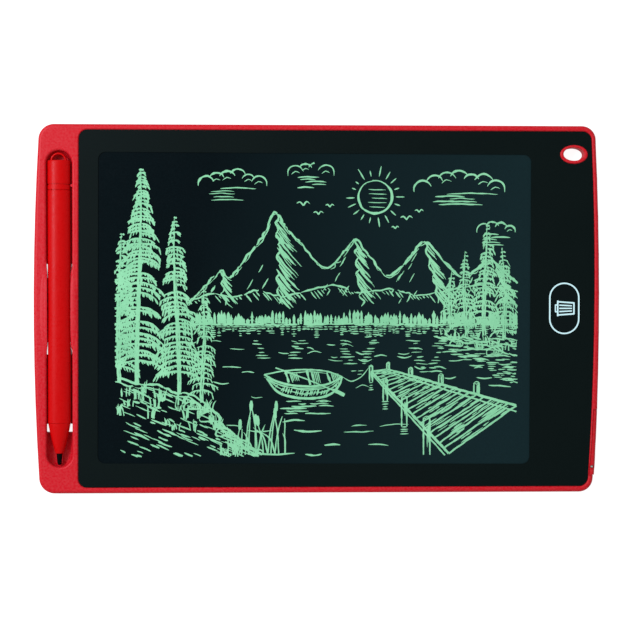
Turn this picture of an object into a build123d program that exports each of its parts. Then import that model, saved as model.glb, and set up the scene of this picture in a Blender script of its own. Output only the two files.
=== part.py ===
from build123d import *
import os

os.makedirs("parts", exist_ok=True)

# LCD writing tablet lying on its back. +X right, +Y up as seen by the writer,
# +Z out of the writing face. The origin is under the middle, on the back face.

# ------------------------------------------------------------- dimensions, mm
# case
body_h = 146.0
left_end, left_mid = -110.07, -112.45      # X of the bowed left side at its corners and middle
right_top, right_mid, right_low = 110.34, 112.28, 110.11
turn_x, turn_y = 111.63, -40.24            # below here the right side draws in to the corner
right_bottom = 109.33
corner_left = 6.2
corner_right = 5.6
case_top = 5.7
parting = 2.2              # joint between rear cover and front shell
top_round = 1.4
back_round = 0.8
wall = 1.8
cover_wall = 1.0
tongue_gap = 0.1
back_floor = 1.2
shelf_low = 3.9
shelf_high = 5.1

# black bezel panel and the pocket it lies in
panel_left_top = -94.57
panel_left_bottom = -95.04
panel_top = 70.85
panel_bottom = -70.72
panel_right_top = 108.7
panel_right_mid = 110.22
panel_right_bottom = 107.65
panel_corner = 3.6
panel_gap = 0.12
bezel_adhesive_t = 0.04
bezel_top = 5.4

# writing window and the screen film under it
window_left, window_right = -87.13, 84.44
window_bottom, window_top = -61.37, 61.72
window_corner = 3.0
window_turn = -0.2         # degrees off square
film_left, film_right = -89.3, 86.2
film_bottom, film_top = -63.3, 63.75
film_gap = 0.15
film_bed = 4.6
film_adhesive_t = 0.05
film_rear_t = 0.2
crystal_t = 0.04
film_front_t = 0.2
tab_y0, tab_y1 = -12.0, -4.0
tab_out = 2.2

# lanyard eyelet
eye_x, eye_y = 101.75, 61.63
eye_outer_a, eye_outer_b = 5.5, 3.68
hole_x, hole_y = 101.77, 61.76
eye_inner_a, eye_inner_b = 4.18, 2.62

# pen trough in the left spine
trough_x, trough_y = -102.25, 0.03
trough_w, trough_len = 10.06, 125.0
trough_wall = 1.2
trough_floor = 1.7
trough_foot_r = 2.8         # rounding between floor and walls
trough_rim_r = 0.9
pocket_rim_r = 0.5
grip_half = 13.4           # half length of the two grip pads
grip_ramp = 4.4
grip_left_x = -106.98
grip_right_x = -97.85
# low swellings beside the grips: centre X, half width, half length, centre Z, half height
grip_banks = (
    (-107.9, 2.45, 20.0, 5.2, 0.78),
    (-107.45, 1.35, 16.0, 5.2, 1.02),
    (-96.55, 1.75, 17.0, 5.2, 0.84),
)
rib_nub_y = 48.75
rib_nub_reach = 0.6          # out of the trough wall towards the stylus
slot_pairs = ((12.4, 17.9), (-18.1, -13.2), (-48.9, -45.5))
slot_left = (-108.05, -105.0)
slot_right_end = -97.35
# left ends of the right-hand slots, at their upper and lower end
slot_right = ((-97.95, -98.15), (-98.6, -97.85), (-99.4, -99.4))
slot_top = 4.3

# stylus
pen_x, pen_z = -102.44, 4.3
pen_a, pen_b = 4.47, 2.55
pen_tail = 58.65
pen_band_hi = 49.1
pen_seam_hi = 46.9
pen_seam_lo = -45.1
pen_nose_mid = -52.4
pen_nose_end = -57.1
pen_tip_end = -61.7
loop_a, loop_b = 3.2, 3.0
loop_t = 0.8

# erase key and its switch
key_x, key_y = 98.1, 0.34
key_w, key_len = 12.6, 21.0
key_gap = 0.15
key_flange = 0.8
key_top = 5.46
key_travel = 0.35

# circuit board
board_z = 2.3
board_t = 0.8
board_x0, board_x1 = 85.0, 106.5
board_y0, board_y1 = -38.8, 31.0
leg_x0, leg_x1 = 82.5, 87.2
leg_y0 = -58.0
board_screw_at = ((103.5, 28.0), (103.5, -34.0))
board_post_at = ((88.0, 28.5), (91.5, -34.5))

# battery tray in the right side
lip_y0, lip_y1 = -66.27, -40.24
lip_depth = 1.7
lip_gap = 0.07
groove_width = 0.36
groove_depth = 0.36
groove_side = 0.04
ear_y1 = -61.95
ear_step = 0.22
tray_y0, tray_y1 = -63.4, -40.6
tray_x0 = 89.5
tray_z0, tray_z1 = 1.25, 3.2
cell_x, cell_y = 97.8, -52.0
cell_r, cell_t = 10.0, 1.6
cell_z = 1.75
cell_gap = 0.15
screw_x, screw_y = 109.34, -62.88
screw_r, screw_head_r = 0.56, 0.95

# lock slider on the back
lock_x, lock_y = 94.5, 22.0
lock_travel = 2.6


# ------------------------------------------------------------ shared outlines
def case_outline(inset=0.0):
    hy = body_h / 2
    with BuildSketch() as s:
        with BuildLine():
            Line((left_end, hy), (right_top, hy))
            side = ThreePointArc((right_top, hy), (right_mid, 0), (turn_x, turn_y))
            TangentArc(side @ 1, (right_bottom, -hy), tangent=side % 1)
            Line((right_bottom, -hy), (left_end, -hy))
            ThreePointArc((left_end, -hy), (left_mid, 0), (left_end, hy))
        make_face()
        fillet(s.vertices().filter_by(lambda v: v.X < 0 and abs(v.Y) > hy - 1), corner_left)
        fillet(s.vertices().filter_by(lambda v: v.X > 0 and abs(v.Y) > hy - 1), corner_right)
        if inset:
            offset(amount=-inset)
    return s.sketch


def lip_outline(inset=0.0):
    """The same side curve, carried on evenly down to the corner."""
    hy = body_h / 2
    with BuildSketch() as s:
        with BuildLine():
            Line((left_end, hy), (right_top, hy))
            ThreePointArc((right_top, hy), (right_mid, 0), (right_low, -hy))
            Line((right_low, -hy), (left_end, -hy))
            Line((left_end, -hy), (left_end, hy))
        make_face()
        if inset:
            offset(amount=-inset)
    return s.sketch


def panel_outline(inset=0.0):
    with BuildSketch() as s:
        with BuildLine():
            Line((panel_left_bottom, panel_bottom), (panel_left_top, panel_top))
            Line((panel_left_top, panel_top), (panel_right_top, panel_top))
            ThreePointArc(
                (panel_right_top, panel_top),
                (panel_right_mid, 0.1),
                (panel_right_bottom, panel_bottom),
            )
            Line((panel_right_bottom, panel_bottom), (panel_left_bottom, panel_bottom))
        make_face()
        fillet(s.vertices(), panel_corner)
        if inset:
            offset(amount=-inset)
    return s.sketch


def box_face(x0, y0, x1, y1, radius=0.0):
    with BuildSketch() as s:
        with Locations(((x0 + x1) / 2, (y0 + y1) / 2)):
            Rectangle(x1 - x0, y1 - y0)
        if radius:
            fillet(s.vertices(), radius)
    return s.sketch


def capsule(x, y, width, length):
    with BuildSketch() as s:
        with Locations((x, y)):
            SlotOverall(length, width, rotation=90)
    return s.sketch


def oval(x, y, a, b):
    with BuildSketch() as s:
        with Locations((x, y)):
            Ellipse(a, b)
    return s.sketch


def pen_plane(y):
    return Plane(origin=(pen_x, y, pen_z), x_dir=(1, 0, 0), z_dir=(0, 1, 0))


whole = box_face(-130, -90, 130, 90)
outline_0 = case_outline()
outline_cover = case_outline(cover_wall)
outline_tongue = case_outline(cover_wall + tongue_gap)
outline_wall = case_outline(wall)
outline_lip = case_outline(lip_depth)
outline_lip_cut = case_outline(lip_depth + lip_gap)
outline_step = lip_outline(ear_step)
outline_block = case_outline(1.2)
panel_0 = panel_outline()
panel_in = panel_outline(panel_gap)
panel_tape = panel_outline(1.2)
window_face = box_face(window_left, window_bottom, window_right, window_top, window_corner).rotate(Axis.Z, window_turn)
eye_outer = oval(eye_x, eye_y, eye_outer_a, eye_outer_b)
eye_outer_clear = oval(eye_x, eye_y, eye_outer_a + 0.12, eye_outer_b + 0.12)
eye_inner = oval(hole_x, hole_y, eye_inner_a, eye_inner_b)
key_face = capsule(key_x, key_y, key_w, key_len)
key_cut = capsule(key_x, key_y, key_w + 2 * key_gap, key_len + 2 * key_gap)
key_flange_face = capsule(key_x, key_y, key_w + 2 * key_flange, key_len + 2 * key_flange)
key_shelf_cut = capsule(key_x, key_y, key_w + 2 * key_flange + 0.4, key_len + 2 * key_flange + 0.4)
trough_face = capsule(trough_x, trough_y, trough_w, trough_len)
trough_ring = capsule(trough_x, trough_y, trough_w + 2 * trough_wall, trough_len + 2 * trough_wall)

with BuildSketch() as grip_sketch:
    for wall_x, pad_x in (
        (trough_x - trough_w / 2, grip_left_x),
        (trough_x + trough_w / 2, grip_right_x),
    ):
        back_x = wall_x - 0.6 if pad_x > wall_x else wall_x + 0.6
        reach = grip_half + grip_ramp
        with BuildLine():
            Bezier((wall_x, reach), (wall_x, grip_half + 2.0), (pad_x, grip_half + 2.0), (pad_x, grip_half))
            Line((pad_x, grip_half), (pad_x, -grip_half))
            Bezier((pad_x, -grip_half), (pad_x, -grip_half - 2.0), (wall_x, -grip_half - 2.0), (wall_x, -reach))
            Line((wall_x, -reach), (back_x, -reach))
            Line((back_x, -reach), (back_x, reach))
            Line((back_x, reach), (wall_x, reach))
        make_face()
grip_face = grip_sketch.sketch

with BuildSketch() as slot_sketch:
    for (y0, y1), (x_high, x_low) in zip(slot_pairs, slot_right):
        with Locations(((slot_left[0] + slot_left[1]) / 2, (y0 + y1) / 2)):
            RectangleRounded(slot_left[1] - slot_left[0], y1 - y0, 0.4)
        with BuildLine():
            Polyline((slot_right_end, y1), (x_high, y1), (x_low, y0), (slot_right_end, y0), (slot_right_end, y1))
        make_face()
slot_face = slot_sketch.sketch

# the swellings, cut off where the trough is open
with BuildSketch() as open_sketch:
    add(trough_face)
    add(grip_face, mode=Mode.SUBTRACT)
trough_open = open_sketch.sketch
swells = []
for bank_x, half_x, half_y, bank_z, half_z in grip_banks:
    with BuildPart() as swell:
        Sphere(1.0)
        scale(by=(half_x, half_y, half_z))
    with BuildPart() as swell_cut:
        add(swell.part.moved(Location((bank_x, 0, bank_z))))
        with BuildSketch():
            add(trough_open)
        extrude(amount=8, mode=Mode.SUBTRACT)
    swells.append(swell_cut.part)

with BuildPart() as outer_form:
    with BuildSketch():
        add(outline_0)
    extrude(amount=case_top)
    fillet(outer_form.faces().sort_by(Axis.Z)[-1].edges(), top_round)
    fillet(outer_form.faces().sort_by(Axis.Z)[0].edges(), back_round)

with BuildPart() as lip_form:
    with BuildSketch():
        add(lip_outline())
    extrude(amount=case_top)
    fillet(lip_form.faces().sort_by(Axis.Z)[-1].edges().filter_by(lambda e: e.center().X > 111), top_round)
    fillet(lip_form.faces().sort_by(Axis.Z)[0].edges().filter_by(lambda e: e.center().X > 111), back_round)

# shallow groove along the joint between lip and case
with BuildPart() as groove_core:
    with BuildSketch():
        add(case_outline(groove_side))
    extrude(amount=case_top - groove_depth)
    fillet(groove_core.faces().sort_by(Axis.Z)[-1].edges(), top_round - groove_side)

with BuildPart() as seam_groove:
    with BuildSketch(Plane.XY.offset(parting)):
        add(case_outline(lip_depth - groove_width / 2))
        add(case_outline(lip_depth + lip_gap + groove_width / 2), mode=Mode.SUBTRACT)
        add(box_face(100, lip_y0 - lip_gap - groove_width / 2, 130, lip_y1 + lip_gap + groove_width / 2),
            mode=Mode.INTERSECT)
        add(box_face(108.4, lip_y1 - groove_width / 2, 130, lip_y1 + lip_gap + groove_width / 2))
        add(box_face(107.9, lip_y0 - lip_gap - groove_width / 2, 130, lip_y0 + groove_width / 2))
        add(case_outline(lip_depth + lip_gap + groove_width / 2), mode=Mode.SUBTRACT)
    extrude(amount=case_top)
    add(groove_core.part, mode=Mode.SUBTRACT)

# ---------------------------------------------------------------- front shell
snap_x = (-76.0, -38.0, 0.0, 38.0, 76.0)

with BuildPart() as front_shell:
    add(outer_form.part)
    with BuildSketch():
        add(whole)
    extrude(amount=parting, mode=Mode.SUBTRACT)
    # hollow under the shelf
    with BuildSketch(Plane.XY.offset(parting)):
        add(outline_wall)
    extrude(amount=shelf_low - parting, mode=Mode.SUBTRACT)
    # tongue that drops inside the rear cover's wall
    with BuildSketch(Plane.XY.offset(back_floor + tongue_gap)):
        add(outline_tongue)
        add(outline_wall, mode=Mode.SUBTRACT)
    extrude(amount=parting - back_floor + 0.2)
    # wall round the pen trough, down to the cover
    with BuildSketch(Plane.XY.offset(back_floor + 0.02)):
        add(trough_ring)
    extrude(amount=shelf_low - back_floor + 0.2)
    with BuildSketch(Plane.XY.offset(trough_floor)):
        add(trough_face)
    extrude(amount=case_top, mode=Mode.SUBTRACT)
    foot = front_shell.edges().filter_by(
        lambda e: abs(e.bounding_box().min.Z - trough_floor) < 0.005
        and abs(e.bounding_box().max.Z - trough_floor) < 0.005
        and abs(e.center().X - trough_x) < 6
    )
    fillet(foot, trough_foot_r)
    with BuildSketch(Plane.XY.offset(back_floor + 0.02)):
        add(grip_face)
    extrude(amount=case_top - back_floor - 0.02)
    # recess for the black panel, and the deeper bed of the screen film
    with BuildSketch(Plane.XY.offset(shelf_high)):
        add(panel_0)
    extrude(amount=case_top - shelf_high + 0.1, mode=Mode.SUBTRACT)
    with BuildSketch(Plane.XY.offset(film_bed)):
        add(box_face(film_left - film_gap, film_bottom - film_gap, film_right + film_gap, film_top + film_gap))
        add(box_face(film_right, tab_y0 - 0.3, film_right + 2.9, tab_y1 + 0.3))
    extrude(amount=shelf_high - film_bed, mode=Mode.SUBTRACT)
    with BuildSketch(Plane.XY.offset(shelf_low)):
        add(box_face(88.5, tab_y0 - 0.2, film_right + 2.9, tab_y1 + 0.2))
        add(key_shelf_cut)
    extrude(amount=shelf_high - shelf_low, mode=Mode.SUBTRACT)
    # eyelet ring, standing through the panel
    with BuildSketch(Plane.XY.offset(back_floor + 0.02)):
        add(eye_outer)
    extrude(amount=case_top - back_floor - 0.04)
    with BuildSketch():
        add(eye_inner)
    extrude(amount=case_top + 1, mode=Mode.SUBTRACT)
    # rounded rims
    rim_z = case_top - 0.02
    eye_rim = front_shell.edges().filter_by(
        lambda e: abs(e.center().Z - rim_z) < 0.005
        and abs(e.center().X - eye_x) < 8 and abs(e.center().Y - eye_y) < 6
    )
    fillet(eye_rim, 0.42)
    top_inner = front_shell.edges().filter_by(
        lambda e: abs(e.bounding_box().min.Z - case_top) < 0.005
        and abs(e.bounding_box().max.Z - case_top) < 0.005
    )
    trough_rim = top_inner.filter_by(
        lambda e: abs(e.center().X - trough_x) < 6.4 and abs(e.center().Y) < 63.5
    )
    fillet(trough_rim, trough_rim_r)
    top_inner = front_shell.edges().filter_by(
        lambda e: abs(e.bounding_box().min.Z - case_top) < 0.005
        and abs(e.bounding_box().max.Z - case_top) < 0.005
    )
    pocket_rim = top_inner.filter_by(
        lambda e: e.bounding_box().min.X > panel_left_bottom - 0.05
        and e.bounding_box().max.X < panel_right_mid + 0.1
        and e.bounding_box().min.Y > panel_bottom - 0.05
        and e.bounding_box().max.Y < panel_top + 0.05
    )
    fillet(pocket_rim, pocket_rim_r)
    # low swellings beside the grips
    add(swells)
    # small locating rib on the trough's right wall
    with BuildSketch(Plane.XY.offset(back_floor + 0.02)):
        with Locations((trough_x + trough_w / 2 + 0.1, rib_nub_y)):
            Ellipse(rib_nub_reach + 0.1, 0.6)
    extrude(amount=case_top - back_floor - 0.6)
    # see-through slots run up the foot of the trough walls
    with BuildSketch():
        add(slot_face)
    extrude(amount=slot_top, mode=Mode.SUBTRACT)
    # opening for the battery tray, its lip and its ear
    with BuildSketch():
        add(whole)
        add(outline_lip_cut, mode=Mode.SUBTRACT)
        add(box_face(100, lip_y0 - lip_gap, 130, lip_y1 + lip_gap), mode=Mode.INTERSECT)
    extrude(amount=case_top + 1, mode=Mode.SUBTRACT)
    with BuildSketch():
        add(box_face(105, tray_y0 - 0.15, 130, tray_y1 + 0.15))
    extrude(amount=cell_z + cell_t + 0.12, mode=Mode.SUBTRACT)
    with BuildSketch():
        add(box_face(108.15, lip_y0 - lip_gap, 130, ear_y1 + 0.15))
    extrude(amount=4.5, mode=Mode.SUBTRACT)
    add(seam_groove.part, mode=Mode.SUBTRACT)
    # recesses for the rear cover's snap beads
    with BuildSketch(Plane.XY.offset(2.6)):
        for sx in snap_x:
            for side in (-1, 1):
                with Locations((sx, side * (body_h / 2 - wall + 0.2))):
                    Rectangle(4.6, 0.75)
    extrude(amount=0.8, mode=Mode.SUBTRACT)
front_shell.part.label = "front_shell"
export_step(front_shell.part, "parts/front_shell.step")

# ----------------------------------------------------------------- rear cover
with BuildPart() as rear_cover:
    add(outer_form.part)
    with BuildSketch(Plane.XY.offset(parting)):
        add(whole)
    extrude(amount=case_top, mode=Mode.SUBTRACT)
    with BuildSketch(Plane.XY.offset(back_floor)):
        add(outline_cover)
    extrude(amount=parting - back_floor, mode=Mode.SUBTRACT)
    # lattice of ribs that carries the screen shelf
    with BuildSketch(Plane.XY.offset(back_floor)):
        with GridLocations(30.0, 0, 6, 1):
            with Locations((-5.0, 0)):
                Rectangle(0.9, 128)
        with GridLocations(0, 32.0, 1, 4):
            with Locations((-6.0, 0)):
                Rectangle(170, 0.9)
    extrude(amount=shelf_low - back_floor - 0.03)
    # guide rails of the battery tray
    with BuildSketch(Plane.XY.offset(back_floor)):
        add(box_face(89.5, tray_y1 + 0.2, 107.0, tray_y1 + 1.0))
        add(box_face(89.5, tray_y0 - 1.0, 107.0, tray_y0 - 0.2))
    extrude(amount=3.3 - back_floor)
    # posts under the circuit board
    with BuildSketch(Plane.XY.offset(back_floor)):
        with Locations(*board_screw_at, *board_post_at):
            Circle(2.0)
    extrude(amount=board_z - back_floor)
    with BuildSketch(Plane.XY.offset(0.5)):
        with Locations(*board_screw_at):
            Circle(0.75)
    extrude(amount=board_z, mode=Mode.SUBTRACT)
    # snap hooks
    with BuildSketch(Plane.XY.offset(back_floor)):
        for sx in snap_x:
            for side in (-1, 1):
                with Locations((sx, side * (body_h / 2 - wall - 0.5))):
                    Rectangle(4.0, 0.8)
    extrude(amount=3.3 - back_floor)
    with BuildSketch(Plane.XY.offset(2.75)):
        for sx in snap_x:
            for side in (-1, 1):
                with Locations((sx, side * (body_h / 2 - wall + 0.1))):
                    Rectangle(4.0, 0.6)
    extrude(amount=0.5)
    # see-through slots and the lanyard hole
    with BuildSketch():
        add(slot_face)
        add(eye_inner)
    extrude(amount=back_floor, mode=Mode.SUBTRACT)
    eye_back = rear_cover.edges().filter_by(
        lambda e: abs(e.center().Z) < 0.005
        and abs(e.center().X - eye_x) < 5 and abs(e.center().Y - eye_y) < 4
    )
    fillet(eye_back, 0.4)
    # side openings for the tray and its lip
    with BuildSketch():
        add(whole)
        add(outline_lip_cut, mode=Mode.SUBTRACT)
        add(box_face(100, ear_y1 - lip_gap, 130, lip_y1 + lip_gap), mode=Mode.INTERSECT)
    extrude(amount=parting + 1, mode=Mode.SUBTRACT)
    with BuildSketch(Plane.XY.offset(back_floor)):
        add(box_face(107.5, lip_y0 - lip_gap, 130, tray_y1 + 0.15))
    extrude(amount=parting, mode=Mode.SUBTRACT)
    # notch and head recess of the tray screw, open to the side
    with BuildSketch():
        add(box_face(screw_x - 0.75, screw_y - 0.75, 120, screw_y + 0.75))
    extrude(amount=back_floor, mode=Mode.SUBTRACT)
    with BuildSketch():
        add(box_face(screw_x - 1.2, screw_y - 1.2, 120, screw_y + 1.2))
    extrude(amount=0.65, mode=Mode.SUBTRACT)
    # coin-sized outline of the battery place and thumb grooves on the back
    with BuildSketch():
        with Locations((104.4, cell_y)):
            with GridLocations(1.5, 0, 4, 1):
                RectangleRounded(0.7, 9.0, 0.3)
    extrude(amount=0.3, mode=Mode.SUBTRACT)
    # lock slider: finger recess and slot
    with BuildSketch():
        with Locations((lock_x, lock_y)):
            SlotOverall(14.0, 6.4)
    extrude(amount=0.5, mode=Mode.SUBTRACT)
    with BuildSketch():
        with Locations((lock_x, lock_y)):
            Rectangle(7.4, 3.2)
    extrude(amount=back_floor, mode=Mode.SUBTRACT)
rear_cover.part.label = "rear_cover"
export_step(rear_cover.part, "parts/rear_cover.step")

# --------------------------------------------------- screen, from back to front
with BuildPart() as film_adhesive:
    with BuildSketch(Plane.XY.offset(film_bed)):
        add(box_face(film_left + 1, film_bottom + 1, film_right - 1, film_top - 1))
    extrude(amount=film_adhesive_t)
film_adhesive.part.label = "film_adhesive"
export_step(film_adhesive.part, "parts/film_adhesive.step")

film_rear_z = film_bed + film_adhesive_t
with BuildPart() as film_rear:
    with BuildSketch(Plane.XY.offset(film_rear_z)):
        add(box_face(film_left, film_bottom, film_right, film_top, 0.8))
        add(box_face(film_right - 1, tab_y0, film_right + tab_out, tab_y1))
    extrude(amount=film_rear_t)
film_rear.part.label = "film_rear"
export_step(film_rear.part, "parts/film_rear.step")

crystal_z = film_rear_z + film_rear_t
with BuildPart() as liquid_crystal_layer:
    with BuildSketch(Plane.XY.offset(crystal_z)):
        add(box_face(film_left, film_bottom, film_right, film_top, 0.8))
    extrude(amount=crystal_t)
liquid_crystal_layer.part.label = "liquid_crystal_layer"
export_step(liquid_crystal_layer.part, "parts/liquid_crystal_layer.step")

film_front_z = crystal_z + crystal_t
with BuildPart() as film_front:
    with BuildSketch(Plane.XY.offset(film_front_z)):
        add(box_face(film_left, film_bottom, film_right, film_top, 0.8))
    extrude(amount=film_front_t)
film_front.part.label = "film_front"
export_step(film_front.part, "parts/film_front.step")

# ------------------------------------------------- black panel over the screen
with BuildPart() as bezel_adhesive:
    with BuildSketch(Plane.XY.offset(shelf_high)):
        add(panel_tape)
        add(box_face(window_left - 0.6, window_bottom - 0.6, window_right + 0.6, window_top + 0.6), mode=Mode.SUBTRACT)
        add(oval(eye_x, eye_y, eye_outer_a + 0.6, eye_outer_b + 0.6), mode=Mode.SUBTRACT)
        add(capsule(key_x, key_y, key_w + 2 * key_flange + 1.0, key_len + 2 * key_flange + 1.0), mode=Mode.SUBTRACT)
    extrude(amount=bezel_adhesive_t)
bezel_adhesive.part.label = "bezel_adhesive"
export_step(bezel_adhesive.part, "parts/bezel_adhesive.step")

bezel_z = shelf_high + bezel_adhesive_t
with BuildPart() as bezel_sheet:
    with BuildSketch(Plane.XY.offset(bezel_z)):
        add(panel_in)
        add(window_face, mode=Mode.SUBTRACT)
        add(eye_outer_clear, mode=Mode.SUBTRACT)
        add(key_cut, mode=Mode.SUBTRACT)
    extrude(amount=bezel_top - bezel_z)
    chamfer(bezel_sheet.faces().sort_by(Axis.Z)[-1].outer_wire().edges(), 0.08)
bezel_sheet.part.label = "bezel_sheet"
export_step(bezel_sheet.part, "parts/bezel_sheet.step")

# ------------------------------------------------------------------ erase key
key_low = 4.5
with BuildPart() as erase_key:
    with BuildSketch(Plane.XY.offset(key_low)):
        add(key_flange_face)
    extrude(amount=5.05 - key_low)
    with BuildSketch(Plane.XY.offset(key_low)):
        add(key_face)
    extrude(amount=key_top - key_low)
    fillet(erase_key.faces().sort_by(Axis.Z)[-1].edges(), 0.12)
    with BuildSketch(Plane.XY.offset(4.3)):
        with Locations((key_x, key_y)):
            Circle(0.9)
    extrude(amount=0.3)
erase_key.part.label = "erase_key"
export_step(erase_key.part, "parts/erase_key.step")

board_top = board_z + board_t
with BuildPart() as tact_switch_body:
    with BuildSketch(Plane.XY.offset(board_top)):
        with Locations((key_x, key_y)):
            RectangleRounded(6.0, 6.0, 0.4)
    extrude(amount=0.8)
    with BuildSketch(Plane.XY.offset(board_top)):
        with Locations((key_x, key_y)):
            Circle(2.1)
    extrude(amount=0.4, mode=Mode.SUBTRACT)
    with BuildSketch(Plane.XY.offset(board_top)):
        with Locations((key_x, key_y)):
            Circle(1.05)
    extrude(amount=0.8, mode=Mode.SUBTRACT)
tact_switch_body.part.label = "tact_switch_body"
export_step(tact_switch_body.part, "parts/tact_switch_body.step")

with BuildPart() as tact_dome:
    with BuildSketch(Plane(origin=(key_x, key_y, board_top), x_dir=(1, 0, 0), z_dir=(0, -1, 0))):
        with BuildLine():
            Polyline(
                (0, 0.20), (0, 0.26), (0.7, 0.235), (1.3, 0.165), (1.9, 0.06),
                (1.9, 0.0), (1.3, 0.105), (0.7, 0.175), close=True,
            )
        make_face()
    revolve(axis=Axis((key_x, key_y, 0), (0, 0, 1)))
tact_dome.part.label = "tact_dome"
export_step(tact_dome.part, "parts/tact_dome.step")

with BuildPart() as tact_plunger:
    with BuildSketch(Plane.XY.offset(3.74)):
        with Locations((key_x, key_y)):
            Circle(0.98)
    extrude(amount=4.3 - 3.74)
    chamfer(tact_plunger.faces().sort_by(Axis.Z)[-1].edges(), 0.1)
tact_plunger.part.label = "tact_plunger"
export_step(tact_plunger.part, "parts/tact_plunger.step")

with BuildPart() as tact_terminals:
    with BuildSketch(Plane.XY.offset(board_top)):
        with Locations((key_x, key_y)):
            with GridLocations(6.9, 4.4, 2, 2):
                Rectangle(0.9, 0.7)
    extrude(amount=0.2)
tact_terminals.part.label = "tact_terminals"
export_step(tact_terminals.part, "parts/tact_terminals.step")

# -------------------------------------------------------------- circuit board
with BuildPart() as circuit_board:
    with BuildSketch(Plane.XY.offset(board_z)):
        with BuildLine():
            Polyline(
                (leg_x0, leg_y0), (leg_x1, leg_y0), (leg_x1, board_y0), (board_x1, board_y0),
                (board_x1, board_y1), (board_x0, board_y1), (board_x0, board_y0 + 3.0),
                (leg_x0, board_y0 + 3.0), close=True,
            )
        make_face()
        with Locations(*board_screw_at):
            Circle(0.85, mode=Mode.SUBTRACT)
    extrude(amount=board_t)
circuit_board.part.label = "circuit_board"
export_step(circuit_board.part, "parts/circuit_board.step")

with BuildPart() as board_screws:
    with BuildSketch(Plane.XY.offset(0.7)):
        with Locations(*board_screw_at):
            Circle(0.68)
    extrude(amount=board_top - 0.7 + 0.1)
    with BuildSketch(Plane.XY.offset(board_top)):
        with Locations(*board_screw_at):
            Circle(1.4)
    extrude(amount=0.65)
    with BuildSketch(Plane.XY.offset(board_top + 0.35)):
        with Locations(*board_screw_at):
            Rectangle(1.5, 0.35)
            Rectangle(0.35, 1.5)
    extrude(amount=0.5, mode=Mode.SUBTRACT)
board_screws.part.label = "board_screws"
export_step(board_screws.part, "parts/board_screws.step")

with BuildPart() as flex_tail:
    with BuildSketch(Plane(origin=(0, tab_y0 + 0.5, 0), x_dir=(1, 0, 0), z_dir=(0, -1, 0))):
        with BuildLine():
            Polyline(
                (86.6, crystal_z), (86.6, crystal_z + 0.12), (88.9, crystal_z + 0.12), (88.9, 3.42),
                (91.0, 3.42), (91.0, 3.30), (88.78, 3.30), (88.78, crystal_z), close=True,
            )
        make_face()
    extrude(amount=-(tab_y1 - tab_y0 - 1.0))
flex_tail.part.label = "flex_tail"
export_step(flex_tail.part, "parts/flex_tail.step")

with BuildPart() as flex_connector:
    with BuildSketch(Plane.XY.offset(board_top)):
        add(box_face(89.3, tab_y0 - 0.5, 92.2, tab_y1 + 0.5))
    extrude(amount=0.75)
    with BuildSketch(Plane.XY.offset(3.27)):
        add(box_face(89.0, tab_y0 + 0.3, 91.2, tab_y1 - 0.3))
    extrude(amount=0.2, mode=Mode.SUBTRACT)
flex_connector.part.label = "flex_connector"
export_step(flex_connector.part, "parts/flex_connector.step")

with BuildPart() as driver_ic:
    with BuildSketch(Plane.XY.offset(board_top + 0.08)):
        with Locations((97.5, -24.0)):
            Rectangle(4.9, 3.9)
    extrude(amount=0.65)
    with BuildSketch(Plane.XY.offset(board_top)):
        with Locations((97.5, -24.0)):
            with GridLocations(1.27, 5.2, 4, 2):
                Rectangle(0.42, 1.5)
    extrude(amount=0.2)
driver_ic.part.label = "driver_ic"
export_step(driver_ic.part, "parts/driver_ic.step")

with BuildPart() as inductor:
    with BuildSketch(Plane.XY.offset(board_top)):
        with Locations((90.5, -24.0)):
            RectangleRounded(3.2, 3.2, 0.5)
    extrude(amount=0.72)
    chamfer(inductor.faces().sort_by(Axis.Z)[-1].edges(), 0.15)
inductor.part.label = "inductor"
export_step(inductor.part, "parts/inductor.step")

with BuildPart() as capacitors:
    with BuildSketch(Plane.XY.offset(board_top)):
        with Locations((103.0, -22.0), (103.0, -24.6), (90.5, -29.2), (104.2, 18.0)):
            Rectangle(1.6, 0.8)
    extrude(amount=0.7)
capacitors.part.label = "capacitors"
export_step(capacitors.part, "parts/capacitors.step")

with BuildPart() as resistors:
    with BuildSketch(Plane.XY.offset(board_top)):
        with Locations((103.0, -27.2), (90.5, -19.6), (93.6, -19.6), (104.2, 20.4), (104.2, 22.8)):
            Rectangle(1.6, 0.8)
    extrude(amount=0.45)
resistors.part.label = "resistors"
export_step(resistors.part, "parts/resistors.step")

# ----------------------------------------------------------- battery contacts
with BuildPart() as positive_contact:
    with BuildSketch(Plane(origin=(96.0, 0, 0), x_dir=(0, 1, 0), z_dir=(1, 0, 0))):
        with BuildLine():
            Polyline(
                (-30.5, 3.1), (-30.5, 3.3), (-38.6, 3.3), (-39.3, 3.62), (-56.0, 3.62),
                (-56.4, 3.8), (-56.6, 3.8), (-56.2, 3.42), (-39.2, 3.42), (-38.5, 3.1), close=True,
            )
        make_face()
    extrude(amount=4.0)
positive_contact.part.label = "positive_contact"
export_step(positive_contact.part, "parts/positive_contact.step")

with BuildPart() as negative_contact:
    with BuildSketch(Plane(origin=(0, cell_y - 1.5, 0), x_dir=(1, 0, 0), z_dir=(0, -1, 0))):
        with BuildLine():
            Polyline(
                (82.8, 2.1), (82.8, 2.3), (86.9, 2.3), (87.5, 1.45), (94.0, 1.45), (96.5, 1.73),
                (99.0, 1.45), (99.4, 1.45), (99.4, 1.25), (99.0, 1.25), (96.5, 1.53),
                (94.0, 1.25), (87.4, 1.25), (86.8, 2.1), close=True,
            )
        make_face()
    extrude(amount=-3.0)
negative_contact.part.label = "negative_contact"
export_step(negative_contact.part, "parts/negative_contact.step")

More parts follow.
